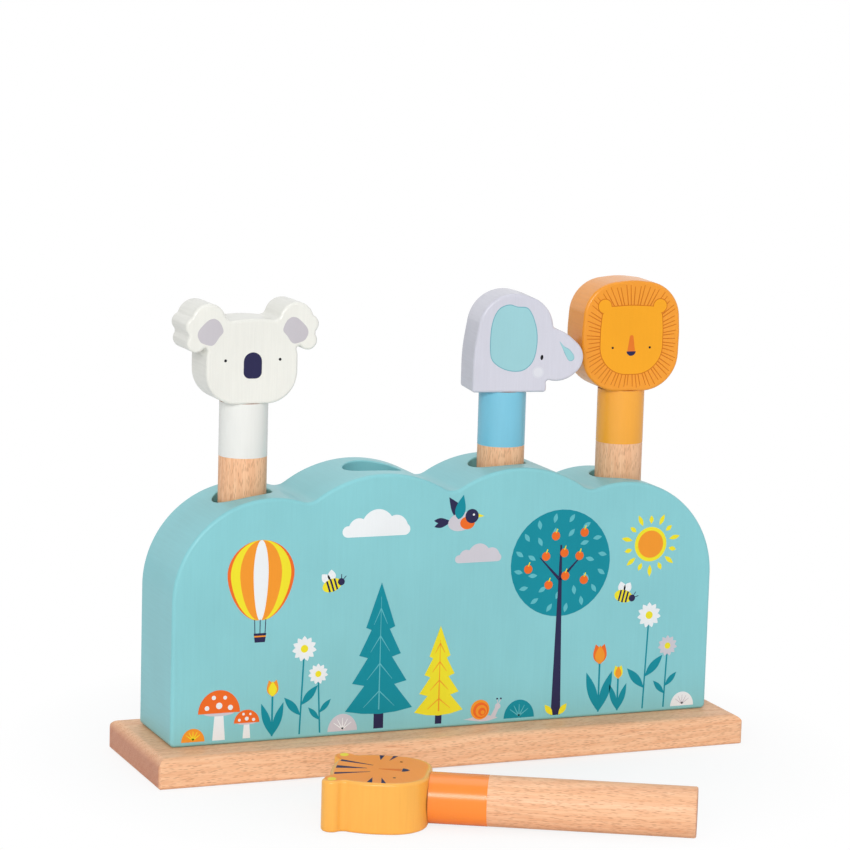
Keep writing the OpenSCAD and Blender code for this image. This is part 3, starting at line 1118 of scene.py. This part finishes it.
@dataclass
class Tulip(GroundMotif):
    """A tulip with two long leaves."""

    height: float
    ink: Ink
    inner: Ink

    def draw(self) -> None:
        """Prints the stem, the leaves and the cup of three petals."""
        cup = 0.3 * self.height
        foot = self.height - cup
        self.stroke(self.at(0, 0), self.at(0, foot + 1), Ink.TEAL, 0, 0.8)
        for side in (-1, 1):
            self.leaf(self.at(0, 0), 0.62 * self.height, 0.14 * self.height, side * 19, Ink.TEAL, 0.6)
            petal = self.at(-side * 0.06 * cup, foot)
            self.leaf(petal, cup, cup * 0.56, side * 17, self.ink, 1.5 + side * 0.2, 0.8)
        self.leaf(self.at(0, foot), cup * 0.9, cup * 0.5, 0, self.inner, 2, 0.8)


@dataclass
class Toadstool(GroundMotif):
    """A toadstool. Its spots have places and sizes as shares of the cap."""

    height: float
    width: float
    spots: ClassVar[tuple[Spot, ...]] = ((-0.29, 0.24, 0.055), (0, 0.32, 0.075), (0.27, 0.22, 0.06),
                                         (-0.13, 0.68, 0.05), (0.14, 0.66, 0.045))

    def draw(self) -> None:
        """Prints the stem, the gills, the cap and its spots."""
        cap = 0.46 * self.height
        x, rim = self.at(0, self.height - cap)
        self.stroke(self.at(0, 0), (x, rim + 0.6), Ink.WHITE, 0, 0.3 * self.width, 0.2 * self.width)
        self.disc(x, rim, self.width * 0.36, Ink.GREY, 0.6, self.width * 0.07)
        self.dome(x, rim, self.width / 2, cap, Ink.RED, 1)
        for right, up, size in self.spots:
            self.disc(x + right * self.width, rim + up * cap, size * self.width, Ink.WHITE, 2)


@dataclass
class Snail(GroundMotif):
    """A snail that looks to the right."""

    size: float
    turns: int = 5

    def at(self, right: float, up: float) -> Point:
        """A place on the snail, as shares of its size."""
        return super().at(self.size * right, self.size * up)

    def draw(self) -> None:
        """Prints the foot, the neck, the horns and the coiled shell."""
        self.leaf(self.at(-0.95, 0.1), self.size * 1.85, self.size * 0.3, 90, Ink.GREY, 0, 1.3)
        neck = (self.size * 0.24, self.size * 0.2)
        self.stroke(self.at(0.62, 0.12), self.at(0.86, 0.62), Ink.GREY, 0.4, *neck)
        self.disc(*self.at(0.88, 0.66), self.size * 0.15, Ink.GREY, 0.8)
        for lean in (0.84, 1.04):
            self.stroke(self.at(0.9, 0.74), self.at(lean, 1.02), Ink.GREY, 0.5, 0.35)
            self.disc(*self.at(lean, 1.04), 0.4, Ink.NAVY, 1)
        for index in range(self.turns):
            shift = 0.035 * index
            ink = Ink.RED if index % 2 else Ink.ORANGE
            self.disc(*self.at(shift - 0.06, 0.55 - shift), self.size * (0.5 - 0.1 * index),
                      ink, 1 + index * 0.6)


@dataclass
class Bee(SkyMotif):
    """A striped bee with two wings, turned clockwise by its tilt."""

    tilt: float

    def draw(self) -> None:
        """Prints the wings, the body, its stripes, the head and the feelers."""
        centre, ahead = self.at(0, 0), self.tilt + 90
        for lean in (-26, 14):
            self.leaf(centre, 6.6, 3.6, self.tilt + lean, Ink.WHITE, 0.3, 1.4)
        self.disc(*centre, 4.3, Ink.YELLOW, 1, 2.7, self.tilt)
        for along, half in ((-1.7, 2.4), (0, 2.7), (1.7, 2.4)):
            self.stroke(*turned(centre, ahead, [(along, -half), (along, half)]), Ink.NAVY, 2, 0.8)
        head = away(centre, ahead, 4.2)
        self.disc(*head, 1.5, Ink.NAVY, 2.4)
        for lean in (20, 60):
            self.stroke(head, away(head, self.tilt + lean, 3.2), Ink.NAVY, 0.5, 0.3)


@dataclass
class Robin(SkyMotif):
    """A small bird that flies to the right."""

    def draw(self) -> None:
        """Prints the tail, the wings, the body, the breast, the head, the beak and the eye."""
        for lean in (-8, 10):
            self.leaf(self.at(-4, 0.3), 8.5, 2.4, lean - 96, Ink.NAVY, 0.3 + lean * 0.01, 1.5)
        self.leaf(self.at(0.5, 1), 11.5, 4.8, -34, Ink.NAVY, 0.5, 0.7)
        self.disc(self.x, self.z, 6.2, Ink.GREY, 1, 3.9, -12)
        self.disc(*self.at(2.6, -0.7), 3.3, Ink.RED, 1.6, 2.7)
        self.disc(*self.at(4.6, 2.1), 3, Ink.NAVY, 2)
        self.shape([self.at(7.2, 3.1), self.at(7.2, 1.3), self.at(10.2, 1.9)], Ink.YELLOW, 1.8)
        self.disc(*self.at(5.4, 2.7), 0.45, Ink.WHITE, 3)
        self.leaf(self.at(-1.6, 1), 10.5, 4.6, 12, Ink.TEAL, 2.4, 0.7)


@dataclass
class Bush(GroundMotif):
    """A low round bush with ribs."""

    width: float
    ink: Ink
    rib: Ink

    def draw(self) -> None:
        """Prints the dome and the ribs that fan out in it."""
        self.dome(*self.at(0, 0), self.width / 2, self.width * 0.56, self.ink, 1)
        root = self.at(0, 0.8)
        for tilt in (-54, -28, 0, 28, 54):
            self.stroke(root, away(root, tilt, self.width * 0.37), self.rib, 2, 0.55, 0.2)


# ---- Faces of the animals ----


@dataclass
class Face(PrintSheet):
    """The print on a head, with the head's outline."""

    rim: list[Point]

    def draw(self) -> None:
        """Prints the face."""
        raise NotImplementedError


class KoalaFace(Face):
    """Grey inner ears, a tall dark nose and two dots for eyes."""

    ear: tuple[Point, ...] = (
        (12.9, 29.8), (13.2, 31.8), (14.5, 34.1), (16.2, 35.3), (17.5, 35.4), (19.2, 34.8), (21.4, 32.9),
        (23.2, 30.8), (23.7, 28.7), (22.9, 26.7), (21.6, 25.5), (18.2, 24.5), (16.4, 25.2), (14.6, 27.7))
    nose: Outline = Outline.mirrored([Corner(1.3, 13.2, 2.6), Corner(0.05, 17.5, 3.85)], step=12)

    def draw(self) -> None:
        """Prints the ears, the eyes and the nose."""
        for side in (1, -1):
            self.shape([(side * x, z) for x, z in smooth_rim(self.ear)], Ink.EAR_GREY)
            self.disc(side * 11.7, 18.2, 0.6, Ink.BLACK)
        self.shape(self.nose.points(), Ink.NAVY)


class ElephantFace(Face):
    """A large blue-green ear, an eye, a pale cheek and a drop on the trunk."""

    ear: tuple[Point, ...] = (
        (-8.6, 22.4), (-8.5, 17.3), (-7.6, 13.9), (-4.9, 11.4), (-1.4, 9.8), (2.5, 9.2), (6, 9.8),
        (9, 12.3), (10.6, 15.9), (11.3, 21.4), (10.9, 26.5), (9.6, 31.1), (7.8, 34.5), (6, 35.8),
        (2.5, 36), (-0.6, 36.9), (-3.6, 36.2), (-5.7, 34.6), (-7.3, 31.6), (-8.3, 27.4))
    drop: tuple[Point, ...] = ((21.5, 21.3), (23.6, 19.2), (25.4, 18.1), (27.2, 16.2), (27.8, 14.5),
                               (26.7, 13.4), (25.3, 13.9), (24.1, 16.2), (23, 18.3))

    def draw(self) -> None:
        """Prints the ear and the drop with their edge lines, the eye and the cheek."""
        for knots, line in ((self.ear, 0.38), (self.drop, 0.24)):
            patch = smooth_rim(knots)
            self.shape(grown(patch, line), Ink.EAR_LINE)
            self.shape(patch, Ink.EAR_TEAL, 1)
        self.disc(13.8, 14.8, 0.62, Ink.BLACK, 0, 1.1, 8)
        self.disc(12.4, 8.5, 2.6, Ink.CHEEK_RIM)
        self.disc(12.4, 8.5, 1.9, Ink.CHEEK, 0.6)


class LionFace(Face):
    """A rounded face in a fringe of short lines."""

    face: Outline = Outline.mirrored(
        [Corner(2, 19.5, 12), Corner(-22, 25, 36), Corner(8.6, 31.4, 5)], [Corner(0, -3.2, 40)], 8)
    middle: Point = (0.0, 22.5)
    lines: int = 66
    ears: tuple[Point, Point] = ((12.5, 36.6), (-12.5, 36.6))
    ear: float = 2.9
    line: float = 0.35

    def draw(self) -> None:
        """Prints the fringe, the ears, the face, the eyes, the bridge of the nose and its tip."""
        face = self.face.points()
        for index in range(self.lines):
            angle = math.tau * (index + 0.14 * math.sin(2.4 * index)) / self.lines
            start = reach(face, self.middle, angle) - 0.2
            end = reach(self.rim, self.middle, angle) - 2.1 - 0.5 * math.sin(1.7 * index)
            near, far = (tuple(polar(size, angle) + Vector(self.middle)) for size in (start, end))
            self.stroke(near, far, Ink.MANE_LINE, 0, 0.46, 0.3)
        for ear in self.ears:
            self.disc(*ear, self.ear + self.line, Ink.MANE_LINE, 0.5)
        self.shape(grown(face, self.line), Ink.MANE_LINE, 0.9)
        for ear in self.ears:
            self.disc(*ear, self.ear, Ink.MANE_FACE, 1.3)
        self.shape(face, Ink.MANE_FACE, 1.7)
        for side in (1, -1):
            self.disc(side * 8.4, 18.8, 0.5, Ink.BLACK, 2.2)
        bridge = Outline.mirrored([Corner(1.45, 16.9, 0.35), Corner(0.1, 23.4, 0.75)], step=12)
        self.shape(bridge.points(), Ink.MUZZLE, 2.2)
        steps = 20
        under = [math.pi + math.pi * k / steps for k in range(steps + 1)]
        self.shape([(2.05 * math.cos(a), 17.2 + 1.9 * math.sin(a)) for a in under], Ink.NAVY, 2.6)


class TigerFace(Face):
    """A face printed redder and darker than the head's sides as painted shade, with dark wedges on its
    brow and cheeks, a slim muzzle and yellow ears.
    """

    brow: tuple[Point, ...] = ((-1.9, 37.1), (1.9, 37.1), (0.15, 25), (-0.15, 25))
    wedges: tuple[tuple[Point, ...], ...] = (((8.6, 36.7), (11, 36.5), (5, 23.1), (4.7, 23.2)),
                                             ((20.1, 22.6), (13, 21.3), (20.1, 20.5)),
                                             ((20.1, 17), (12.6, 17.8), (20.1, 15.2)))
    muzzle: tuple[Point, ...] = ((-0.25, 20.5), (-1.7, 11.4), (1.7, 11.4), (0.25, 20.5))
    nose: tuple[Point, ...] = ((-2.3, 11.2), (2.3, 11.2), (2.1, 10.2), (1.2, 9), (0, 8.3),
                               (-1.2, 9), (-2.1, 10.2))

    def draw(self) -> None:
        """Prints the face in painted shade, the wedges, the ears, the eyes, the muzzle and the nose."""
        # The face film is darker than the head's paint: painted shade on the up-turned face.
        self.shape(grown(self.rim, -1.7), Ink.TIGER_FACE_SHADE)
        self.shape(self.brow, Ink.NAVY, 1)
        for side in (1, -1):
            for wedge in self.wedges:
                self.shape([(side * x, z) for x, z in wedge], Ink.NAVY, 1)
            self.disc(side * 18.2, 36.4, 2.3, Ink.TIGER_EAR, 1, 1.7)
            self.disc(side * 11.85, 12.9, 0.6, Ink.BLACK, 1)
        self.shape(self.muzzle, Ink.MUZZLE, 1)
        self.shape(self.nose, Ink.NAVY, 2)


# ---- Sub-assemblies ----


@dataclass
class BasePlate:
    """The beech base plate with the screws and staples in it."""

    grain_height: float = -20.0

    def build(self) -> None:
        """Dresses the base plate, with its grain from end to end, and its fasteners."""
        heart = Matrix.Translation((0, 0, self.grain_height * MM))
        dress_node("base_plate", Beech("base_beech", heart @ Matrix.Rotation(math.pi / 2, 4, "Y")))
        dress_node("base_screws", DrawnSteel("screw_zinc", screen_colour(214, 214, 218)))
        dress_node("spring_staples", DrawnSteel("staple_zinc", screen_colour(196, 197, 202), 0.36))


@dataclass
class CloudBlock:
    """The painted block: a cloud outline with four wells, and a meadow printed on its front.

    Attributes:
        rim_radius: Radius of the softened rim of each well.
        rim_turn: How far round its quarter the rim runs before it meets the top, in degrees.
        motifs: What is printed, by the names of the prints.
    """

    length: float = 243.0
    depth: float = 42.5
    outer_lobe: float = 42.0
    outer_crest: float = 101.5
    inner_lobe: float = 51.5
    inner_x: float = 30.5
    inner_crest: float = 109.5
    valley: float = 7.5
    corner: float = 2.0
    edge: float = 1.5
    well: float = 24.5
    well_pitch: float = 57.0
    wells: int = 4
    rim_radius: float = 0.7
    rim_turn: float = 68.0
    pilot: float = 3.7
    pilot_depth: float = 21.0
    pilot_x: tuple[float, float] = (57.0, 109.625)
    colour: Colour = screen_colour(136, 203, 209)
    motifs: dict[str, SkyMotif | GroundMotif] = field(default_factory=lambda: {
        "balloon": Balloon(-84, 70),
        "sun": Sun(92, 74),
        "white_cloud": Cloud(-34, 86, 30, Ink.WHITE),
        "grey_cloud": Cloud(12, 72, 21, Ink.GREY),
        "tall_fir": FirTree(-31, 62, 30, Ink.TEAL, Ink.SEA),
        "yellow_fir": FirTree(-4, 42, 22, Ink.YELLOW, Ink.ORANGE),
        "apple_tree": AppleTree(50, 68, 23),
        "tall_daisy": Daisy(-66, 36, 5.4, 1.5),
        "low_daisy": Daisy(-57, 25, 4.4, -1.2),
        "orange_tulip": Tulip(-78, 24, Ink.ORANGE, Ink.YELLOW),
        "toadstool": Toadstool(-101, 21, 18),
        "small_toadstool": Toadstool(-89, 12, 11),
        "snail": Snail(15.5, 8.6),
        "grey_bush": Bush(-47, 13, Ink.GREY, Ink.WHITE),
        "teal_bush": Bush(33, 14, Ink.TEAL, Ink.SEA),
        "red_tulip": Tulip(70, 30, Ink.RED, Ink.ORANGE),
        "yellow_tulip": Tulip(79, 20, Ink.YELLOW, Ink.ORANGE),
        "right_daisy": Daisy(91, 41, 5.6, 1.6),
        "grey_daisy": Daisy(101, 27, 4.6, 1.0, Ink.GREY),
        "white_bush": Bush(110, 11, Ink.WHITE, Ink.GREY),
        "orange_bush": Bush(-112, 10, Ink.ORANGE, Ink.YELLOW),
        "left_bee": Bee(-53, 64, -18),
        "right_bee": Bee(80, 52, 14),
        "robin": Robin(4, 88),
    })

    def __post_init__(self) -> None:
        """Finds the block's place and works out its outline."""
        low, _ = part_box("block")
        self.place = Matrix.Translation((0, middle("block").y, low.z))
        self.rim = Outline.mirrored([
            Corner(self.length / 2 - self.corner, self.corner, self.corner),
            Corner(self.length / 2 - self.outer_lobe, self.outer_crest - self.outer_lobe,
                   self.outer_lobe, self.valley),
            Corner(self.inner_x, self.inner_crest - self.inner_lobe, self.inner_lobe, self.valley),
        ]).points()

    def top_at(self, x: float) -> float:
        """Measures the cloud's height.

        Args:
            x: A place along it.

        Returns:
            The height of its top there.
        """
        sides = zip(self.rim, [*self.rim[1:], self.rim[0]])
        return max(a[1] + (b[1] - a[1]) * (x - a[0]) / (b[0] - a[0])
                   for a, b in sides if min(a[0], b[0]) <= x <= max(a[0], b[0]) and a[0] != b[0])

    def _well_tool(self, x: float) -> Mesh:
        """Makes the cutter of a well, whose flared rim follows the cloud's top.

        Args:
            x: The well's place along the block.

        Returns:
            The cutter.
        """
        bore, soft, rim_steps = self.well / 2, self.rim_radius, 5
        below, above, lip = -200, 12, 1.2
        turns = [math.radians(self.rim_turn * k / rim_steps) for k in range(rim_steps + 1)]
        flare = [(bore + soft * (1 - math.cos(turn)), soft * (math.sin(turn) - 1)) for turn in turns]
        out = polar(lip, math.radians(90 - self.rim_turn)) + Vector(flare[-1])
        tool = lathe([(0, below), (bore, below), *flare, tuple(out), (out.x, above), (0, above)], 112)
        for vert in tool.verts:
            vert.co.z = -1 if vert.co.z < below / 2 else vert.co.z + self.top_at(x + vert.co.x)
        bmesh.ops.translate(tool, vec=(x, 0, 0), verts=tool.verts)
        return tool

    def _tools(self) -> Mesh:
        """Gathers the cutters of the wells and of the pilot holes below.

        Returns:
            The cutters.
        """
        tools = bmesh.new()
        for index in range(self.wells):
            tool = to_object("tool", self._well_tool((index - (self.wells - 1) / 2) * self.well_pitch))
            tools.from_mesh(tool.data)
            bpy.data.meshes.remove(tool.data)
        for x in (side * x for x in self.pilot_x for side in (-1, 1)):
            bmesh.ops.create_cone(
                tools, cap_ends=True, segments=32, radius1=self.pilot / 2, radius2=self.pilot / 2,
                depth=2 * self.pilot_depth, matrix=Matrix.Translation((x, 0, 0)))
        return tools

    def build(self) -> None:
        """Cuts the block, paints it and prints each motif on its front as a piece of its own."""
        paint = SatinPaint("block_paint", self.colour, self.place, fibre=0.7)
        solid = carve(board(self.rim, self.depth, self.edge, 8), self._tools())
        add_piece("cloud_block", solid, self.place, BODY, [paint], ["block"])
        front = self.place @ Matrix.Translation((0, -self.depth / 2 * MM, 0))
        for name, motif in self.motifs.items():
            motif.draw()
            motif.finish("print_" + name, front, BODY, "block_paint")


@dataclass
class WellSpring:
    """A compression spring whose first and last turns lie flat."""

    animal: str
    length: float
    outside: float = 20.0
    wire: float = 1.25
    turns: float = 7.0
    flat_turn: float = 0.65
    squeeze: float = 20.0
    rings: int = 28
    wire_sides: int = 12
    steel: DrawnSteel = DrawnSteel("spring_zinc", screen_colour(205, 207, 212), 0.26)

    def build(self) -> None:
        """Winds the wire."""
        mesh = bmesh.new()
        radius = (self.outside - self.wire) / 2
        stand = Matrix.Translation((radius, 0, self.wire / 2)) @ Matrix.Rotation(math.pi / 2, 4, "X")
        bmesh.ops.create_circle(mesh, segments=self.wire_sides, radius=self.wire / 2, matrix=stand)
        rising = self.turns - 2 * self.flat_turn
        tip = list(mesh.verts) + list(mesh.edges)
        for turn, rise in ((self.flat_turn, 0), (rising, self.length - self.wire), (self.flat_turn, 0)):
            steps = round(turn * self.rings)
            tip = bmesh.ops.spin(mesh, geom=tip, axis=(0, 0, 1), cent=(0, 0, 0), dvec=(0, 0, rise / steps),
                                 angle=math.tau * turn, steps=steps)["geom_last"]
        bmesh.ops.holes_fill(mesh, edges=[e for e in mesh.edges if e.is_boundary], sides=0)
        bmesh.ops.recalc_face_normals(mesh, faces=mesh.faces)
        node = self.animal + "_spring"
        low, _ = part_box(node)
        foot = Vector((middle(node).x, middle("block").y, low.z))
        piece = add_piece(self.animal + "_coil", mesh, Matrix.Translation(foot), BODY,
                          [self.steel], [node])
        self.animal + "_press"
        1 - self.squeeze / self.length
        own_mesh(piece)


@dataclass
class AnimalPeg:
    """A dowel with a painted collar and an animal's head, on a spring in its well.

    Attributes:
        outline: The head's outline.
        face: What is printed on the head.
        colour: The head's paint.
        collar: Length of the painted collar.
        turn: Turn of a standing peg's face towards the left end, in degrees.
        heading: Direction of the peg's own Z in the X-Y plane in degrees, if it lies down.
        spring: Length of the spring in the peg's well.
    """

    animal: str
    outline: Outline
    face: type[Face]
    colour: Colour
    collar_colour: Colour
    collar: float
    turn: float = 0.0
    heading: float | None = None
    spring: float = 34.0
    dowel: float = 20.0
    dowel_length: float = 104.0
    dowel_soft: float = 0.8
    thickness: float = 20.5
    edge: float = 1.25
    pin_bore: float = 8.1
    pin_depth: float = 14.5
    collar_film: float = 0.06

    def __post_init__(self) -> None:
        """Finds the peg's place, where its head meets its dowel."""
        turn = Matrix.Rotation(math.radians(-self.turn), 4, "Z")
        if self.heading is not None:
            turn = (Matrix.Rotation(math.radians(self.heading - 90), 4, "Z")
                    @ Matrix.Rotation(-math.pi / 2, 4, "X"))
        half = turn.to_3x3() @ Vector((0, 0, self.dowel_length / 2 * MM))
        self.place = Matrix.Translation(middle(self.animal + "_dowel") + half) @ turn

    def _add(self, part: str, mesh: Mesh, slot: str, finish: Finish, *stands_for: str) -> None:
        """Adds a piece under the animal's name.

        Args:
            part: The piece's name without the animal.
            mesh: Its mesh.
            slot: Not used.
            finish: Its finish.
            stands_for: The nodes that it replaces, without the animal.
        """
        add_piece(f"{self.animal}_{part}", mesh, self.place, self.animal + "_peg",
                  [finish], [f"{self.animal}_{node}" for node in stands_for])

    def build(self) -> None:
        """Makes the dowel, its collar, the head, its face and the spring, and dresses the pin."""
        beech = Beech(self.animal + "_beech", self.place, (-14.0, 21.0), 2.8)
        self._add("turned_dowel", self._dowel(), "dowel_beech", beech, "dowel")
        sleeve = SatinPaint(self.animal + "_collar_paint", self.collar_colour, self.place,
                            0.22, 0.0, 0.6, 0.5)
        self._add("collar", self._collar(), "dowel_beech", sleeve)
        rim = self.outline.points()
        bore, below = self.pin_bore / 2, -2
        drill = lathe([(0, below), (bore, below), (bore, self.pin_depth), (0, self.pin_depth)], 48)
        self._add("board", carve(board(rim, self.thickness, self.edge), drill), "paint",
                  SatinPaint(self.animal + "_paint", self.colour, self.place, coat=0.4), "head")
        face = self.face(rim)
        face.draw()
        front = self.place @ Matrix.Translation((0, -self.thickness / 2 * MM, 0))
        face.finish(self.animal + "_face_print", front, self.animal + "_peg", self.animal + "_paint")
        dress_node(self.animal + "_pin", Beech(self.animal + "_pin_beech", self.place, (5.0, 9.0), 2.2))
        WellSpring(self.animal, self.spring).build()

    def _dowel(self) -> Mesh:
        """Turns the dowel, with a softened foot and a bore for the pin.

        Returns:
            The dowel.
        """
        radius, soft, foot, bore = self.dowel / 2, self.dowel_soft, -self.dowel_length, self.pin_bore / 2
        steps = 5
        corner = [(radius - soft + soft * math.sin(turn), foot + soft - soft * math.cos(turn))
                  for turn in (math.pi / 2 * k / steps for k in range(steps + 1))]
        return lathe([(0, foot), *corner, (radius, 0), (bore, 0), (bore, -self.pin_depth),
                      (0, -self.pin_depth)])

    def _collar(self) -> Mesh:
        """Makes the collar's film of paint round the dowel.

        Returns:
            The film, with its lower edge thinned.
        """
        outer, inner = self.dowel / 2 + self.collar_film, self.dowel / 2 - self.collar_film
        top, foot, thin, slope = -0.02, -self.collar, 0.03, 0.08
        return lathe([(inner, foot), (outer - thin, foot), (outer, foot + slope),
                      (outer, top), (inner, top)])


def animal_pegs() -> list[AnimalPeg]:
    """Lists the four pegs with their outlines, paints and places.

    Returns:
        The pegs.
    """
    brow = 60.0
    koala = Outline.mirrored([
        Corner(6.6, 13, 13), Corner(11.6, 19, 8, 1.2), Corner(24, 25.6, 3.9, 2),
        Corner(24.6, 32.3, 3.9, 1.2), Corner(18.8, 34.1, 7.4, 3)], [Corner(0, 35 - brow, brow, 3)])
    elephant = Outline((
        Corner(15, 1.3, 1.3), Corner(15, 2.9, 1.3, 1.2), Corner(20.5, 16.6, 12), Corner(23.9, 14.6, 8.3),
        Corner(16.2, 11.1, 16, 2.3), Corner(4.8, 27, 13.8), Corner(1.3, 26.5, 15.3), Corner(59.1, 10, 75),
        Corner(-14.6, 1.3, 1.3)))
    lion = Outline.mirrored([Corner(5.6, 16.2, 16.2), Corner(-14, 24.5, 36), Corner(6.2, 31.5, 15.4)],
                            [Corner(0, 11.5, 36)])
    tiger = Outline.mirrored([Corner(6.1, 15, 15), Corner(-8.5, 20, 30), Corner(10.7, 26, 10, 2.5),
                              Corner(18.2, 36.3, 4, 3)], [Corner(0, 39 - brow, brow, 3)])
    return [
        AnimalPeg("koala", koala, KoalaFace, screen_colour(235, 234, 226),
                  screen_colour(233, 233, 228), 22.5),
        AnimalPeg("elephant", elephant, ElephantFace, screen_colour(209, 208, 219),
                  screen_colour(122, 196, 220), 23.4, 8, spring=35.2),
        AnimalPeg("lion", lion, LionFace, screen_colour(243, 154, 30),
                  screen_colour(250, 170, 52), 23, 5),
        AnimalPeg("tiger", tiger, TigerFace, screen_colour(255, 180, 74),
                  screen_colour(252, 140, 44), 23, heading=151.6),
    ]


# ---- Studio ----


@dataclass
class Studio:
    """The camera, the soft lamps and the pale floor.

    Attributes:
        eye: The camera's place, in metres.
        azimuth: Its direction round the toy, in degrees, as its elevation and its roll are.
        lens: Its focal length on a 36 mm sensor.
        world_light: Strength of the light from all round.
        aim: What the lamps look at, in metres.
    """

    eye: Spot = (-0.5213, -1.24542, 0.35828)
    azimuth: float = -22.469
    elevation: float = 9.257
    roll: float = 1.633
    lens: float = 138.3
    world_light: float = 0.5
    aim: Spot = (0.0, 0.0, 0.08)
    white: Colour = (1.0, 1.0, 1.0, 1.0)
    floor_size: float = 8.0
    floor_gap: float = 0.0001

    def build(self) -> None:
        """Sets the camera, the world, the lamps and the floor."""
        self._camera()
        self._world()
        self._lamp("key", (-1.0, -1.75, 0.98), (1.35, 0.6), 23)
        self._lamp("fill", (1.7, -1.4, 0.9), (1.6, 1.6), 3.5)
        self._lamp("top", (0.1, 0.3, 2.2), (1.4, 1.4), 9)
        self._floor()
        bpy.context.scene.view_settings.view_transform = "Standard"

    def _stand(self, data: bpy.types.ID, spot: Sequence[float], turn: Quaternion) -> bpy.types.Object:
        """Puts a camera or a lamp into the scene.

        Args:
            data: The camera or the lamp.
            spot: Its place, in metres.
            turn: Its turn.

        Returns:
            Its object.
        """
        made = bpy.data.objects.new(data.name, data)
        made.location = spot
        made.rotation_mode = "QUATERNION"
        made.rotation_quaternion = turn
        bpy.context.scene.collection.objects.link(made)
        return made

    def _camera(self) -> None:
        """Makes the camera at the photograph's angle."""
        turn, lift = math.radians(self.azimuth), math.radians(self.elevation)
        back = Vector((math.sin(turn) * math.cos(lift), -math.cos(turn) * math.cos(lift), math.sin(lift)))
        data = bpy.data.cameras.new("camera")
        data.sensor_width = 36
        data.lens = self.lens
        data.clip_start, data.clip_end = 0.05, 30
        roll = Quaternion((0, 0, 1), math.radians(self.roll))
        bpy.context.scene.camera = self._stand(data, self.eye, back.to_track_quat("Z", "Y") @ roll)

    def _world(self) -> None:
        """Lights the toy from all round, and shows white to the camera and in reflections."""
        world = bpy.data.worlds.new("studio")
        world.use_nodes = True
        bpy.context.scene.world = world
        sheet = NodeSheet(world.node_tree)
        light = sheet.node("ShaderNodeBackground", {}, {
            "Color": (0.96, 0.98, 1.0, 1), "Strength": self.world_light})
        shown = sheet.node("ShaderNodeBackground", {}, {"Color": self.white})
        seen, glossy, through = (sheet.node("ShaderNodeLightPath", output=f"Is {ray} Ray")
                                 for ray in ("Camera", "Glossy", "Transmission"))
        seen = seen.maths("MAXIMUM", seen.maths("MAXIMUM", seen, glossy), through)
        mixed = sheet.node("ShaderNodeMixShader", {}, {0: seen, 1: light, 2: shown})
        sheet.end("ShaderNodeOutputWorld", mixed)

    def _lamp(self, name: str, spot: Spot, size: Point, power: float) -> None:
        """Adds a soft lamp that looks at the toy.

        Args:
            name: The lamp's name.
            spot: Its place, in metres.
            size: Its width and height, in metres.
            power: Its power, in watts.
        """
        data = bpy.data.lights.new(name, "AREA")
        data.shape = "RECTANGLE"
        data.size, data.size_y = size
        data.energy = power
        self._stand(data, spot, (Vector(spot) - Vector(self.aim)).to_track_quat("Z", "Y"))

    def _floor(self) -> None:
        """Lays the pale floor, which fades to white away from the toy."""
        mesh = bmesh.new()
        bmesh.ops.create_grid(mesh, x_segments=1, y_segments=1, size=self.floor_size)
        bmesh.ops.translate(mesh, vec=(0, 0, -self.floor_gap), verts=mesh.verts)
        floor = to_object("floor", mesh)
        sheet = MaterialSheet("floor")
        spot = sheet.node("ShaderNodeTexCoord", output="Object")
        distance = sheet.vectors("LENGTH", spot, output="Value")
        seen = sheet.node("ShaderNodeLightPath", output="Is Camera Ray")
        matt = sheet.node("ShaderNodeBsdfPrincipled", {}, {
            "Base Color": (0.93, 0.93, 0.93, 1), "Roughness": 0.9, "Specular IOR Level": 0.1})
        glow = sheet.node("ShaderNodeEmission", {}, {"Color": self.white, "Strength": 1.0})
        fade = (distance * 3 + 0.45).held() * seen
        faded = sheet.node("ShaderNodeMixShader", {}, {0: fade, 1: matt, 2: glow})
        sheet.end("ShaderNodeOutputMaterial", faded)
        floor.data.materials.append(sheet.material)
        floor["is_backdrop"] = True


def write_sizes() -> None:
    boxes = {"cad": CAD_BOX, "visual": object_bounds()}
    plain = {name: [list(corner) for corner in box] for name, box in boxes.items()}


def main() -> None:
    """Builds the toy and its studio."""
    logging.basicConfig(level=logging.INFO, format="%(message)s")
    Studio().build()
    BasePlate().build()
    CloudBlock().build()
    for peg in animal_pegs():
        peg.build()
    write_sizes()


if __name__ == "__main__":
    main()
